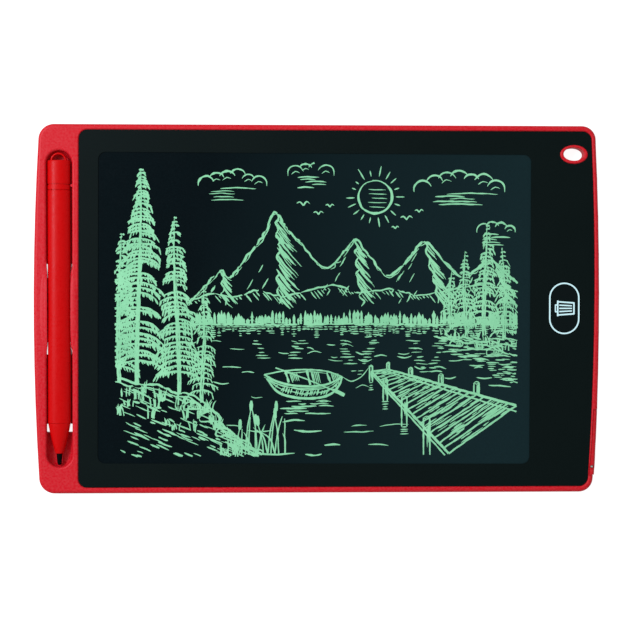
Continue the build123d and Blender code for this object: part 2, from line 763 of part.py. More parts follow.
# --------------------------------------------------------------- battery tray
with BuildPart() as battery_tray:
    # lip that completes the side of the case, a little proud of it at the lower end
    add(lip_form.part)
    with BuildSketch(Plane.XY.offset(-1)):
        add(whole)
        add(box_face(100, lip_y0, 130, lip_y1), mode=Mode.SUBTRACT)
    extrude(amount=case_top + 2, mode=Mode.SUBTRACT)
    with BuildSketch(Plane.XY.offset(-1)):
        add(outline_lip)
    extrude(amount=case_top + 2, mode=Mode.SUBTRACT)
    with BuildSketch():
        add(whole)
    extrude(amount=0.12, mode=Mode.SUBTRACT)
    # the ear stands on the rear cover and is set in a little
    with BuildSketch():
        add(box_face(100, lip_y0 - 1, 130, ear_y1))
    extrude(amount=back_floor + 0.06, mode=Mode.SUBTRACT)
    with BuildSketch():
        add(whole)
        add(outline_step, mode=Mode.SUBTRACT)
        add(box_face(100, lip_y0 - 1, 130, screw_y - 0.65), mode=Mode.INTERSECT)
    extrude(amount=case_top + 1, mode=Mode.SUBTRACT)
    # ear block behind the lip
    with BuildSketch(Plane.XY.offset(back_floor + 0.06)):
        add(outline_block)
        add(box_face(108.3, lip_y0, 130, ear_y1), mode=Mode.INTERSECT)
    extrude(amount=4.4 - back_floor - 0.06)
    # drawer frame
    with BuildSketch(Plane.XY.offset(tray_z0)):
        add(outline_block)
        add(box_face(tray_x0, tray_y0, 130, tray_y1), mode=Mode.INTERSECT)
        with Locations((cell_x, cell_y)):
            Circle(8.0, mode=Mode.SUBTRACT)
        add(box_face(tray_x0 - 1, cell_y - 4.5, cell_x, cell_y + 4.5), mode=Mode.SUBTRACT)
    extrude(amount=tray_z1 - tray_z0)
    with BuildSketch(Plane.XY.offset(cell_z)):
        with Locations((cell_x, cell_y)):
            Circle(cell_r + cell_gap)
    extrude(amount=3, mode=Mode.SUBTRACT)
    # hole of the captive screw and the notch that shows its tip
    with BuildSketch():
        with Locations((screw_x, screw_y)):
            Circle(screw_r + 0.01)
    extrude(amount=case_top + 1, mode=Mode.SUBTRACT)
    with BuildSketch(Plane.XY.offset(4.4)):
        with Locations((screw_x, screw_y)):
            Circle(screw_r + 0.12)
        add(box_face(screw_x, screw_y - 0.6, 115, screw_y + 0.6))
    extrude(amount=2, mode=Mode.SUBTRACT)
    add(seam_groove.part, mode=Mode.SUBTRACT)
battery_tray.part.label = "battery_tray"
export_step(battery_tray.part, "parts/battery_tray.step")

with BuildPart() as tray_screw:
    with BuildSketch(Plane.XY.offset(0.1)):
        with Locations((screw_x, screw_y)):
            Circle(screw_head_r)
    extrude(amount=0.5)
    with BuildSketch(Plane.XY.offset(0.5)):
        with Locations((screw_x, screw_y)):
            Circle(screw_r)
    extrude(amount=5.3 - 0.5)
    chamfer(tray_screw.faces().sort_by(Axis.Z)[-1].edges(), 0.2)
    with BuildSketch(Plane.XY.offset(0.1)):
        with Locations((screw_x, screw_y)):
            Rectangle(1.2, 0.28)
            Rectangle(0.28, 1.2)
    extrude(amount=0.25, mode=Mode.SUBTRACT)
tray_screw.part.label = "tray_screw"
export_step(tray_screw.part, "parts/tray_screw.step")

# ------------------------------------------------------------------ coin cell
cell_plane = Plane(origin=(cell_x, cell_y, cell_z), x_dir=(1, 0, 0), z_dir=(0, -1, 0))
cell_axis = Axis((cell_x, cell_y, 0), (0, 0, 1))

with BuildPart() as coin_cell_can:
    with BuildSketch(cell_plane):
        with BuildLine():
            Polyline(
                (0, cell_t - 0.25), (9.72, cell_t - 0.25), (9.72, 0.2), (9.85, 0.2),
                (cell_r, 0.35), (cell_r, cell_t - 0.3), (cell_r - 0.3, cell_t), (0, cell_t), close=True,
            )
        make_face()
    revolve(axis=cell_axis)
coin_cell_can.part.label = "coin_cell_can"
export_step(coin_cell_can.part, "parts/coin_cell_can.step")

with BuildPart() as coin_cell_cap:
    with BuildSketch(cell_plane):
        with BuildLine():
            Polyline(
                (0, 0), (8.7, 0), (9.1, 0.25), (9.4, 0.3), (9.4, 1.1), (9.2, 1.1),
                (9.2, 0.5), (8.6, 0.2), (0, 0.2), close=True,
            )
        make_face()
    revolve(axis=cell_axis)
coin_cell_cap.part.label = "coin_cell_cap"
export_step(coin_cell_cap.part, "parts/coin_cell_cap.step")

with BuildPart() as coin_cell_gasket:
    with BuildSketch(cell_plane):
        with BuildLine():
            Polyline((9.41, 0.22), (9.71, 0.22), (9.71, 1.3), (9.41, 1.3), close=True)
        make_face()
    revolve(axis=cell_axis)
coin_cell_gasket.part.label = "coin_cell_gasket"
export_step(coin_cell_gasket.part, "parts/coin_cell_gasket.step")

with BuildPart() as coin_cell_electrodes:
    with BuildSketch(cell_plane):
        with BuildLine():
            Polyline((0, 0.21), (8.5, 0.21), (8.5, 1.34), (0, 1.34), close=True)
        make_face()
    revolve(axis=cell_axis)
coin_cell_electrodes.part.label = "coin_cell_electrodes"
export_step(coin_cell_electrodes.part, "parts/coin_cell_electrodes.step")

# ---------------------------------------------------------------- lock slider
knob_x = lock_x - lock_travel / 2
with BuildPart() as lock_knob:
    with BuildSketch(Plane.XY.offset(0.12)):
        with Locations((knob_x, lock_y)):
            RectangleRounded(4.6, 3.0, 0.5)
    extrude(amount=1.3 - 0.12)
    with BuildSketch(Plane.XY.offset(0.12)):
        with Locations((knob_x, lock_y)):
            with GridLocations(1.0, 0, 3, 1):
                Rectangle(0.4, 2.4)
    extrude(amount=0.25, mode=Mode.SUBTRACT)
    with BuildSketch(Plane.XY.offset(1.25)):
        with Locations((knob_x, lock_y)):
            Rectangle(10.2, 4.6)
    extrude(amount=0.33)
    with BuildSketch(Plane.XY.offset(1.5)):
        with Locations((knob_x, lock_y)):
            Rectangle(1.3, 1.3)
    extrude(amount=0.75)
lock_knob.part.label = "lock_knob"
export_step(lock_knob.part, "parts/lock_knob.step")

with BuildPart() as lock_switch_body:
    with BuildSketch(Plane.XY.offset(1.66)):
        with Locations((lock_x, lock_y)):
            Rectangle(8.0, 4.4)
            Rectangle(4.2, 1.6, mode=Mode.SUBTRACT)
    extrude(amount=board_z - 1.66)
lock_switch_body.part.label = "lock_switch_body"
export_step(lock_switch_body.part, "parts/lock_switch_body.step")

# --------------------------------------------------------------------- stylus
with BuildPart() as stylus_barrel:
    with BuildSketch(pen_plane(pen_seam_lo)):
        Ellipse(pen_a, pen_b)
    extrude(amount=pen_seam_hi - pen_seam_lo)
    chamfer(stylus_barrel.faces().sort_by(Axis.Y)[0].edges(), 0.12)
    chamfer(stylus_barrel.faces().sort_by(Axis.Y)[-1].edges(), 0.18)
    with BuildSketch(pen_plane(pen_seam_lo)):
        Ellipse(pen_a - 1.1, pen_b - 1.0)
    extrude(amount=pen_seam_hi - pen_seam_lo, mode=Mode.SUBTRACT)
stylus_barrel.part.label = "stylus_barrel"
export_step(stylus_barrel.part, "parts/stylus_barrel.step")

with BuildPart() as stylus_tail_cap:
    with BuildSketch(pen_plane(pen_seam_hi + 0.03)):
        Ellipse(pen_a, pen_b)
    extrude(amount=pen_tail - pen_seam_hi - 0.03)
    fillet(stylus_tail_cap.faces().sort_by(Axis.Y)[-1].edges(), 0.45)
    chamfer(stylus_tail_cap.faces().sort_by(Axis.Y)[0].edges(), 0.12)
    # band between two grooves
    for groove_y, groove_w, groove_d in ((pen_band_hi, 0.52, 0.3), (pen_seam_hi, 0.5, 0.32)):
        with BuildSketch(pen_plane(groove_y - groove_w / 2)):
            Ellipse(pen_a + 1, pen_b + 1)
            Ellipse(pen_a - groove_d, pen_b - groove_d, mode=Mode.SUBTRACT)
        extrude(amount=groove_w, mode=Mode.SUBTRACT)
    # plug into the barrel
    with BuildSketch(pen_plane(39.5)):
        Ellipse(pen_a - 1.14, pen_b - 1.04)
    extrude(amount=pen_seam_hi + 0.3 - 39.5)
    # half-ring loop on the flat tail
    with BuildLine(Plane.XY.offset(pen_z + 0.2)) as loop_path:
        EllipticalCenterArc(
            (pen_x, pen_tail - 0.3), loop_a - loop_t / 2, loop_b + 0.3 - loop_t / 2, start_angle=0, arc_size=180
        )
    with BuildSketch(Plane(origin=loop_path.line @ 0, x_dir=(1, 0, 0), z_dir=loop_path.line % 0)):
        RectangleRounded(loop_t, 2.4, 0.36)
    sweep()
stylus_tail_cap.part.label = "stylus_tail_cap"
export_step(stylus_tail_cap.part, "parts/stylus_tail_cap.step")

with BuildPart() as stylus_nose:
    with BuildSketch(pen_plane(pen_nose_end)):
        Ellipse(1.55, 1.45)
    with BuildSketch(pen_plane(pen_nose_mid)):
        Ellipse(2.86, 2.06)
    with BuildSketch(pen_plane(pen_seam_lo - 0.03)):
        Ellipse(pen_a - 0.06, pen_b - 0.06)
    loft()
    fillet(stylus_nose.faces().sort_by(Axis.Y)[0].edges(), 0.3)
    with BuildSketch(pen_plane(pen_seam_lo - 0.3)):
        Ellipse(pen_a - 1.14, pen_b - 1.04)
    extrude(amount=7.5)
    with BuildSketch(pen_plane(-52.0)):
        Circle(0.75)
    extrude(amount=-10, mode=Mode.SUBTRACT)
stylus_nose.part.label = "stylus_nose"
export_step(stylus_nose.part, "parts/stylus_nose.step")

with BuildPart() as stylus_tip:
    with BuildSketch(Plane(origin=(pen_x, 0, pen_z), x_dir=(1, 0, 0), z_dir=(0, 0, 1))):
        with BuildLine():
            Line((0, -52.1), (0.74, -52.1))
            Line((0.74, -52.1), (0.74, pen_nose_end - 0.01))
            Line((0.74, pen_nose_end - 0.01), (1.18, pen_nose_end - 0.01))
            Line((1.18, pen_nose_end - 0.01), (0.86, pen_tip_end + 0.9))
            Spline((0.86, pen_tip_end + 0.9), (0, pen_tip_end), tangents=((-0.07, -1), (-1, 0)))
            Line((0, pen_tip_end), (0, -52.1))
        make_face()
    revolve(axis=Axis((pen_x, 0, pen_z), (0, 1, 0)))
stylus_tip.part.label = "stylus_tip"
export_step(stylus_tip.part, "parts/stylus_tip.step")
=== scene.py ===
import math
import random

import bpy
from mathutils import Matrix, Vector, noise
from mathutils.geometry import tessellate_polygon


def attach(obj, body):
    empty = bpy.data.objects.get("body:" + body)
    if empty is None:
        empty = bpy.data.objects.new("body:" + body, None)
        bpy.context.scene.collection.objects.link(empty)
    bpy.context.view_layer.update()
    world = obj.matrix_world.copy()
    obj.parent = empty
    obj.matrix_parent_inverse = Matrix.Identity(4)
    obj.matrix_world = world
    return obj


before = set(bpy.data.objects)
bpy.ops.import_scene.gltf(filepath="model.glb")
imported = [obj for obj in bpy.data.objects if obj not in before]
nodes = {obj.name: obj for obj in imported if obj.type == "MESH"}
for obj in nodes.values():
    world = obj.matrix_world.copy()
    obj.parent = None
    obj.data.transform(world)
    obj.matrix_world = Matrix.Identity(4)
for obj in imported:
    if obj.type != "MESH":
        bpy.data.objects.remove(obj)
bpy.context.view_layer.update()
MM = 0.001


# ---------------------------------------------------------------- colours and shader graphs
def lin(r, g, b):
    """Screen colour, 0 to 255, as linear RGBA."""
    done = []
    for c in (r / 255, g / 255, b / 255):
        done.append(c / 12.92 if c <= 0.04045 else ((c + 0.055) / 1.055) ** 2.4)
    return (*done, 1.0)


class Finish:
    """One material: a Principled shader with the few node chains that the finishes here share. Sizes are in mm."""

    def __init__(self, name, rough=0.5, metal=0.0, spec=0.5, ior=1.5):
        self.mat = bpy.data.materials.new(name)
        self.mat.use_nodes = True
        self.tree = self.mat.node_tree
        self.tree.nodes.clear()
        out = self.node("ShaderNodeOutputMaterial")
        self.bsdf = self.node("ShaderNodeBsdfPrincipled")
        self.wire(self.bsdf.outputs["BSDF"], out.inputs["Surface"])
        self.bsdf.inputs["Metallic"].default_value = metal
        self.bsdf.inputs["Roughness"].default_value = rough
        self.bsdf.inputs["Specular IOR Level"].default_value = spec
        self.bsdf.inputs["IOR"].default_value = ior
        self.place = self.node("ShaderNodeTexCoord").outputs["Object"]
        self.normal = None

    def node(self, kind, **props):
        n = self.tree.nodes.new(kind)
        for k, v in props.items():
            setattr(n, k, v)
        return n

    def wire(self, a, b):
        self.tree.links.new(a, b)

    def feed(self, value, socket):
        if isinstance(value, bpy.types.NodeSocket):
            self.wire(value, socket)
        else:
            socket.default_value = value

    def spot(self, centre=(0, 0, 0), stretch=(1, 1, 1), turn=0.0):
        """Object coordinates, moved so that centre is the origin, turned about Z and stretched."""
        m = self.node("ShaderNodeMapping", vector_type="POINT")
        m.inputs["Location"].default_value = [-c * MM for c in centre]
        self.wire(self.place, m.inputs["Vector"])
        t = self.node("ShaderNodeMapping", vector_type="POINT")
        t.inputs["Rotation"].default_value = (0, 0, turn)
        t.inputs["Scale"].default_value = stretch
        self.wire(m.outputs["Vector"], t.inputs["Vector"])
        return t.outputs["Vector"]

    def grain(self, size, detail=2.0, rough=0.5, where=None, warp=0.0):
        n = self.node("ShaderNodeTexNoise")
        n.inputs["Scale"].default_value = 1000.0 / size
        n.inputs["Detail"].default_value = detail
        n.inputs["Roughness"].default_value = rough
        n.inputs["Distortion"].default_value = warp
        self.wire(where or self.place, n.inputs["Vector"])
        return n.outputs[0]

    def cells(self, size, feature="F1", where=None, even=1.0, metric="EUCLIDEAN"):
        n = self.node("ShaderNodeTexVoronoi", feature=feature, distance=metric)
        n.inputs["Scale"].default_value = 1000.0 / size
        n.inputs["Randomness"].default_value = even
        self.wire(where or self.place, n.inputs["Vector"])
        return n.outputs["Distance"]

    def bands(self, size, axis="X", where=None, warp=0.0, kind="BANDS"):
        n = self.node("ShaderNodeTexWave", wave_type=kind)
        if kind == "BANDS":
            n.bands_direction = axis
        else:
            n.rings_direction = axis
        n.inputs["Scale"].default_value = 1000.0 / size / math.pi / 2 * 2.0
        n.inputs["Distortion"].default_value = warp
        self.wire(where or self.place, n.inputs["Vector"])
        return n.outputs["Fac"]

    def scale(self, value, a, b, c, d, clamp=True):
        n = self.node("ShaderNodeMapRange", clamp=clamp)
        self.wire(value, n.inputs["Value"])
        for k, v in zip(("From Min", "From Max", "To Min", "To Max"), (a, b, c, d)):
            n.inputs[k].default_value = v
        return n.outputs["Result"]

    def sums(self, op, a, b=0.0):
        n = self.node("ShaderNodeMath", operation=op)
        self.feed(a, n.inputs[0])
        self.feed(b, n.inputs[1])
        return n.outputs[0]

    def axis(self, which, where=None):
        n = self.node("ShaderNodeSeparateXYZ")
        self.wire(where or self.place, n.inputs[0])
        return n.outputs[which]

    def blend(self, factor, a, b, how="MIX"):
        n = self.node("ShaderNodeMix", data_type="RGBA", blend_type=how)
        self.feed(factor, n.inputs[0])
        self.feed(a, n.inputs[6])
        self.feed(b, n.inputs[7])
        return n.outputs[2]

    def colour(self, value):
        self.feed(value, self.bsdf.inputs["Base Color"])

    def gloss(self, value):
        self.feed(value, self.bsdf.inputs["Roughness"])

    def relief(self, height, depth, strength=1.0):
        n = self.node("ShaderNodeBump")
        n.inputs["Strength"].default_value = strength
        n.inputs["Distance"].default_value = depth * MM
        self.wire(height, n.inputs["Height"])
        if self.normal is not None:
            self.wire(self.normal, n.inputs["Normal"])
        self.normal = n.outputs["Normal"]
        self.wire(self.normal, self.bsdf.inputs["Normal"])

    def wear(self, *names):
        for n in names:
            slots = nodes[n].data.materials
            slots.clear()
            slots.append(self.mat)


def moulded(name, base, other, rough, spec, fine, fine_depth, swell, swell_depth, spread=0.06, patch=0.0, pale=0.0, swing=0.0):
    """Moulded plastic: a spark-eroded grain, a slow swell, slight drift of colour and gloss, and patches painted paler
    as a painted sheen.
    """
    f = Finish(name, spec=spec)
    drift = f.grain(14.0, detail=3.0, rough=0.55)
    speck = f.grain(fine * 1.7, detail=1.0)
    tone = f.blend(f.scale(drift, 0.3, 0.7, 0.0, 1.0), base, other)
    dim = tuple(0.90 * c for c in base[:3]) + (1.0,)
    tone = f.blend(f.scale(speck, 0.56, 0.78, 0.0, 0.45), tone, dim)
    shine = f.sums("ADD", f.scale(speck, 0.25, 0.75, rough - spread, rough + spread), f.scale(drift, 0.3, 0.7, -0.02, 0.02))
    if patch:
        # the grain is etched unevenly, so small patches are a little rougher; the same patches are painted paler, a
        # painted sheen that stands in for the speckled gloss of the grain
        etch_and_sheen_patches = f.grain(patch, detail=2.5, rough=0.6)
        painted_sheen_tone = (base[0] * 1.02, base[1] + pale, base[2] + 0.9 * pale, 1.0)
        tone = f.blend(f.scale(etch_and_sheen_patches, 0.34, 0.66, 0.0, 1.0), tone, painted_sheen_tone)
        shine = f.sums("ADD", shine, f.scale(etch_and_sheen_patches, 0.34, 0.66, -swing, swing))
    f.colour(tone)
    f.gloss(shine)
    f.relief(f.grain(swell, detail=1.5), swell_depth)
    f.relief(f.grain(fine, detail=2.0, rough=0.6), fine_depth)
    return f


# ---------------------------------------------------------------- red mouldings
RED = (0.600, 0.0006, 0.0100, 1.0)
RED_2 = (0.580, 0.0004, 0.0085, 1.0)
PEN = (0.555, 0.0002, 0.0008, 1.0)
PEN_2 = (0.535, 0.0001, 0.0005, 1.0)
# pale sets how much paler the sheen patches are painted: a painted sheen, not a colour of the plastic
shell_red = moulded("shell_red", RED, RED_2, rough=0.44, spec=0.18, fine=0.42, fine_depth=0.012, swell=1.5, swell_depth=0.016, patch=0.8, pale=0.022, swing=0.09)
shell_red.wear("front_shell", "rear_cover")
tray_red = moulded("tray_red", RED_2, RED, rough=0.44, spec=0.18, fine=0.40, fine_depth=0.012, swell=1.5, swell_depth=0.016, patch=0.8, pale=0.022, swing=0.09)
tray_red.wear("battery_tray")
pen_red = moulded("pen_red", PEN, PEN_2, rough=0.33, spec=0.10, fine=0.55, fine_depth=0.007, swell=1.6, swell_depth=0.014, spread=0.04, patch=0.9, pale=0.001, swing=0.07)
pen_red.wear("stylus_barrel", "stylus_tail_cap", "stylus_nose")
tip = moulded("tip_black", (0.0010, 0.0010, 0.0012, 1), (0.0022, 0.0019, 0.0021, 1), rough=0.40, spec=0.05, fine=0.22, fine_depth=0.004, swell=1.2, swell_depth=0.006)
tip.wear("stylus_tip")

# ---------------------------------------------------------------- front panel, screen and key
panel = Finish("panel_black", spec=0.07)
fleck = panel.grain(0.36, detail=2.0, rough=0.6)
cloud = panel.grain(26.0, detail=2.0)
tone = panel.blend(panel.scale(cloud, 0.3, 0.7, 0.0, 1.0), (0.0006, 0.0039, 0.0035, 1), (0.0012, 0.0047, 0.0043, 1))
panel.colour(panel.blend(panel.scale(fleck, 0.45, 0.72, 0.0, 0.9), tone, (0.0034, 0.0094, 0.0092, 1)))
panel.gloss(panel.scale(fleck, 0.3, 0.7, 0.50, 0.62))
panel.relief(fleck, 0.010)
panel.wear("bezel_sheet")

screen = Finish("screen_film", spec=0.06)
# the film's colour is painted lighter and bluer towards the right and the bottom: a painted sheen, the film's
# reflection of a soft light put into its colour
sx, sy = screen.axis(0), screen.axis(1)
sheen_slope = screen.sums("ADD", screen.sums("MULTIPLY", sx, 6.0), screen.sums("MULTIPLY", sy, -0.8))
sheen_slope = screen.sums("ADD", sheen_slope, screen.scale(screen.grain(38.0, detail=2.0), 0.25, 0.75, -0.04, 0.04, clamp=False))
depth = screen.scale(sheen_slope, -0.32, 0.46, 0.0, 1.0)
tone = screen.blend(depth, (0.0008, 0.0038, 0.0053, 1), (0.0066, 0.0205, 0.0232, 1))
haze = screen.grain(0.55, detail=3.0, rough=0.7)
screen.colour(screen.blend(screen.scale(haze, 0.42, 0.80, 0.0, 0.5), tone, (0.0034, 0.0096, 0.0118, 1)))
screen.gloss(screen.scale(screen.grain(3.2, detail=3.0), 0.3, 0.7, 0.17, 0.24))
screen.relief(screen.grain(22.0, detail=1.0), 0.020)
screen.relief(screen.grain(0.7, detail=2.0), 0.0012)
screen.wear("film_front", "liquid_crystal_layer")

key = Finish("key_black", spec=0.08)
fleck = key.grain(0.30, detail=2.0, rough=0.6)
key.colour(key.blend(key.scale(fleck, 0.40, 0.75, 0.0, 0.6), (0.0010, 0.0044, 0.0046, 1), (0.0028, 0.0070, 0.0074, 1)))
key.gloss(key.scale(fleck, 0.3, 0.7, 0.42, 0.54))
key.relief(key.grain(4.0, detail=1.0), 0.010)
key.relief(fleck, 0.008)
key.wear("erase_key")

# ---------------------------------------------------------------- inside pieces
dark_film = Finish("dark_film", spec=0.4)
w = dark_film.grain(9.0, detail=3.0)
dark_film.colour(dark_film.blend(dark_film.scale(w, 0.3, 0.7, 0.0, 1.0), (0.006, 0.006, 0.008, 1), (0.014, 0.014, 0.017, 1)))
dark_film.gloss(dark_film.scale(w, 0.3, 0.7, 0.22, 0.34))
dark_film.relief(dark_film.grain(2.5, detail=2.0), 0.006)
dark_film.wear("film_rear")

tape = Finish("adhesive_tape", spec=0.35)
w = tape.grain(0.9, detail=4.0, rough=0.7, where=tape.spot(stretch=(0.35, 1.6, 1.0)))
tape.colour(tape.blend(tape.scale(w, 0.35, 0.7, 0.0, 1.0), (0.62, 0.60, 0.52, 1), (0.40, 0.39, 0.34, 1)))
tape.gloss(tape.scale(w, 0.3, 0.7, 0.42, 0.66))
tape.relief(w, 0.012)
tape.wear("film_adhesive", "bezel_adhesive")

board = Finish("circuit_green", spec=0.5)
lanes = board.cells(3.1, feature="DISTANCE_TO_EDGE", even=0.85)
runs = board.bands(1.15, axis="DIAGONAL", warp=0.0)
lane = board.scale(lanes, 0.045, 0.065, 1.0, 0.0)
copper = board.sums("MAXIMUM", lane, board.scale(runs, 0.86, 0.90, 0.0, 0.55))
vias = board.scale(board.cells(2.3, even=0.9), 0.10, 0.13, 1.0, 0.0)
mask = board.blend(copper, (0.010, 0.095, 0.035, 1), (0.028, 0.190, 0.070, 1))
mask = board.blend(board.scale(board.grain(6.0, detail=3.0), 0.3, 0.7, 0.0, 0.4), mask, (0.006, 0.060, 0.026, 1))
board.colour(board.blend(vias, mask, (0.55, 0.38, 0.12, 1)))
board.gloss(board.scale(vias, 0.0, 1.0, 0.30, 0.42))
board.relief(board.sums("ADD", copper, board.sums("MULTIPLY", vias, -1.4)), 0.020)
board.wear("circuit_board")

flex = Finish("flex_amber", spec=0.5)
runs = flex.bands(0.8, axis="Y")
line = flex.scale(runs, 0.55, 0.75, 0.0, 1.0)
soft = flex.grain(5.0, detail=2.0)
amber = flex.blend(flex.scale(soft, 0.3, 0.7, 0.0, 1.0), (0.42, 0.17, 0.025, 1), (0.34, 0.12, 0.016, 1))
flex.colour(flex.blend(line, amber, (0.56, 0.24, 0.055, 1)))
flex.gloss(flex.scale(soft, 0.3, 0.7, 0.22, 0.34))
flex.relief(line, 0.012)
flex.wear("flex_tail")

ivory = moulded("ivory_plastic", (0.74, 0.69, 0.56, 1), (0.68, 0.63, 0.50, 1), rough=0.42, spec=0.45, fine=0.25, fine_depth=0.006, swell=1.6, swell_depth=0.006)
ivory.wear("tact_plunger", "flex_connector")
dark = moulded("black_plastic", (0.013, 0.013, 0.014, 1), (0.018, 0.018, 0.019, 1), rough=0.46, spec=0.4, fine=0.28, fine_depth=0.010, swell=2.2, swell_depth=0.008)
dark.wear("lock_knob", "lock_switch_body", "tact_switch_body", "driver_ic")

coil = Finish("inductor_ferrite", spec=0.3)
w = coil.grain(0.35, detail=4.0, rough=0.7)
coil.colour(coil.blend(coil.scale(w, 0.35, 0.7, 0.0, 1.0), (0.030, 0.029, 0.028, 1), (0.060, 0.058, 0.055, 1)))
coil.gloss(coil.scale(w, 0.3, 0.7, 0.55, 0.75))
coil.relief(w, 0.02)
coil.wear("inductor")

ceramic = Finish("ceramic_chip", spec=0.45)
w = ceramic.grain(0.16, detail=3.0, rough=0.65)
ceramic.colour(ceramic.blend(ceramic.scale(w, 0.35, 0.7, 0.0, 1.0), (0.36, 0.25, 0.15, 1), (0.27, 0.18, 0.11, 1)))
ceramic.gloss(ceramic.scale(w, 0.3, 0.7, 0.36, 0.52))
ceramic.relief(w, 0.006)
ceramic.wear("capacitors")

chip = Finish("resistor_glaze", spec=0.5)
w = chip.grain(0.2, detail=3.0, rough=0.6)
chip.colour(chip.blend(chip.scale(w, 0.3, 0.75, 0.0, 1.0), (0.022, 0.022, 0.024, 1), (0.050, 0.050, 0.052, 1)))
chip.gloss(chip.scale(w, 0.3, 0.7, 0.20, 0.34))
chip.relief(w, 0.005)
chip.wear("resistors")


def metal(name, base, other, rough, stretch, size, depth, centre=(0, 0, 0), round_about=False, turn=0.0):
    """Worked metal: fine scratches along one way, or round a centre, over a slow tarnish."""
    f = Finish(name, metal=1.0, rough=rough)
    if round_about:
        at = f.spot(centre=centre)
        x, y = f.axis(0, at), f.axis(1, at)
        reach = f.sums("SQRT", f.sums("ADD", f.sums("MULTIPLY", x, x), f.sums("MULTIPLY", y, y)))
        join = f.node("ShaderNodeCombineXYZ")
        f.wire(f.sums("MULTIPLY", reach, 1.0), join.inputs[0])
        f.wire(f.sums("MULTIPLY", f.sums("ARCTAN2", y, x), 0.0006), join.inputs[1])
        f.wire(f.axis(2, at), join.inputs[2])
        lines = f.grain(size, detail=3.0, rough=0.7, where=join.outputs[0])
    else:
        lines = f.grain(size, detail=3.0, rough=0.7, where=f.spot(stretch=stretch, turn=turn))
    stain = f.grain(3.5, detail=3.0)
    f.colour(f.blend(f.scale(stain, 0.3, 0.75, 0.0, 1.0), base, other))
    f.gloss(f.sums("ADD", f.scale(lines, 0.3, 0.7, rough - 0.07, rough + 0.09), f.scale(stain, 0.3, 0.7, -0.03, 0.05)))
    f.relief(lines, depth)
    return f


spring = metal("spring_steel", (0.62, 0.60, 0.55, 1), (0.52, 0.50, 0.45, 1), 0.30, (0.08, 1.0, 1.0), 0.22, 0.004)
spring.wear("positive_contact", "negative_contact", "tact_terminals", "tact_dome")
screws = metal("screw_steel", (0.66, 0.63, 0.59, 1), (0.52, 0.50, 0.46, 1), 0.40, (1, 1, 1), 0.16, 0.006, centre=(109.34, -62.88, 0), round_about=True)
screws.wear("tray_screw")
board_screws = metal("board_screw_steel", (0.44, 0.43, 0.42, 1), (0.30, 0.29, 0.28, 1), 0.38, (1, 1, 0.2), 0.25, 0.006)
board_screws.wear("board_screws")
can = metal("cell_steel", (0.25, 0.25, 0.245, 1), (0.19, 0.19, 0.185, 1), 0.60, (1, 1, 1), 0.22, 0.010, centre=(97.8, -52.0, 0), round_about=True)
can.wear("coin_cell_can")
cap = metal("cell_cap_steel", (0.29, 0.285, 0.28, 1), (0.22, 0.22, 0.215, 1), 0.54, (1, 1, 1), 0.18, 0.010, centre=(97.8, -52.0, 0), round_about=True)
cap.wear("coin_cell_cap")

seal = Finish("cell_gasket", spec=0.3)
w = seal.grain(0.3, detail=3.0)
seal.colour(seal.blend(seal.scale(w, 0.3, 0.7, 0.0, 1.0), (0.040, 0.040, 0.042, 1), (0.070, 0.070, 0.072, 1)))
seal.gloss(seal.scale(w, 0.3, 0.7, 0.50, 0.68))
seal.relief(w, 0.01)
seal.wear("coin_cell_gasket")

paste = Finish("cell_electrodes", spec=0.2)
w = paste.grain(0.5, detail=4.0, rough=0.7)
paste.colour(paste.blend(paste.scale(w, 0.35, 0.7, 0.0, 1.0), (0.020, 0.019, 0.018, 1), (0.060, 0.057, 0.052, 1)))
paste.gloss(paste.scale(w, 0.3, 0.7, 0.70, 0.88))
paste.relief(w, 0.03)
paste.wear("coin_cell_electrodes")


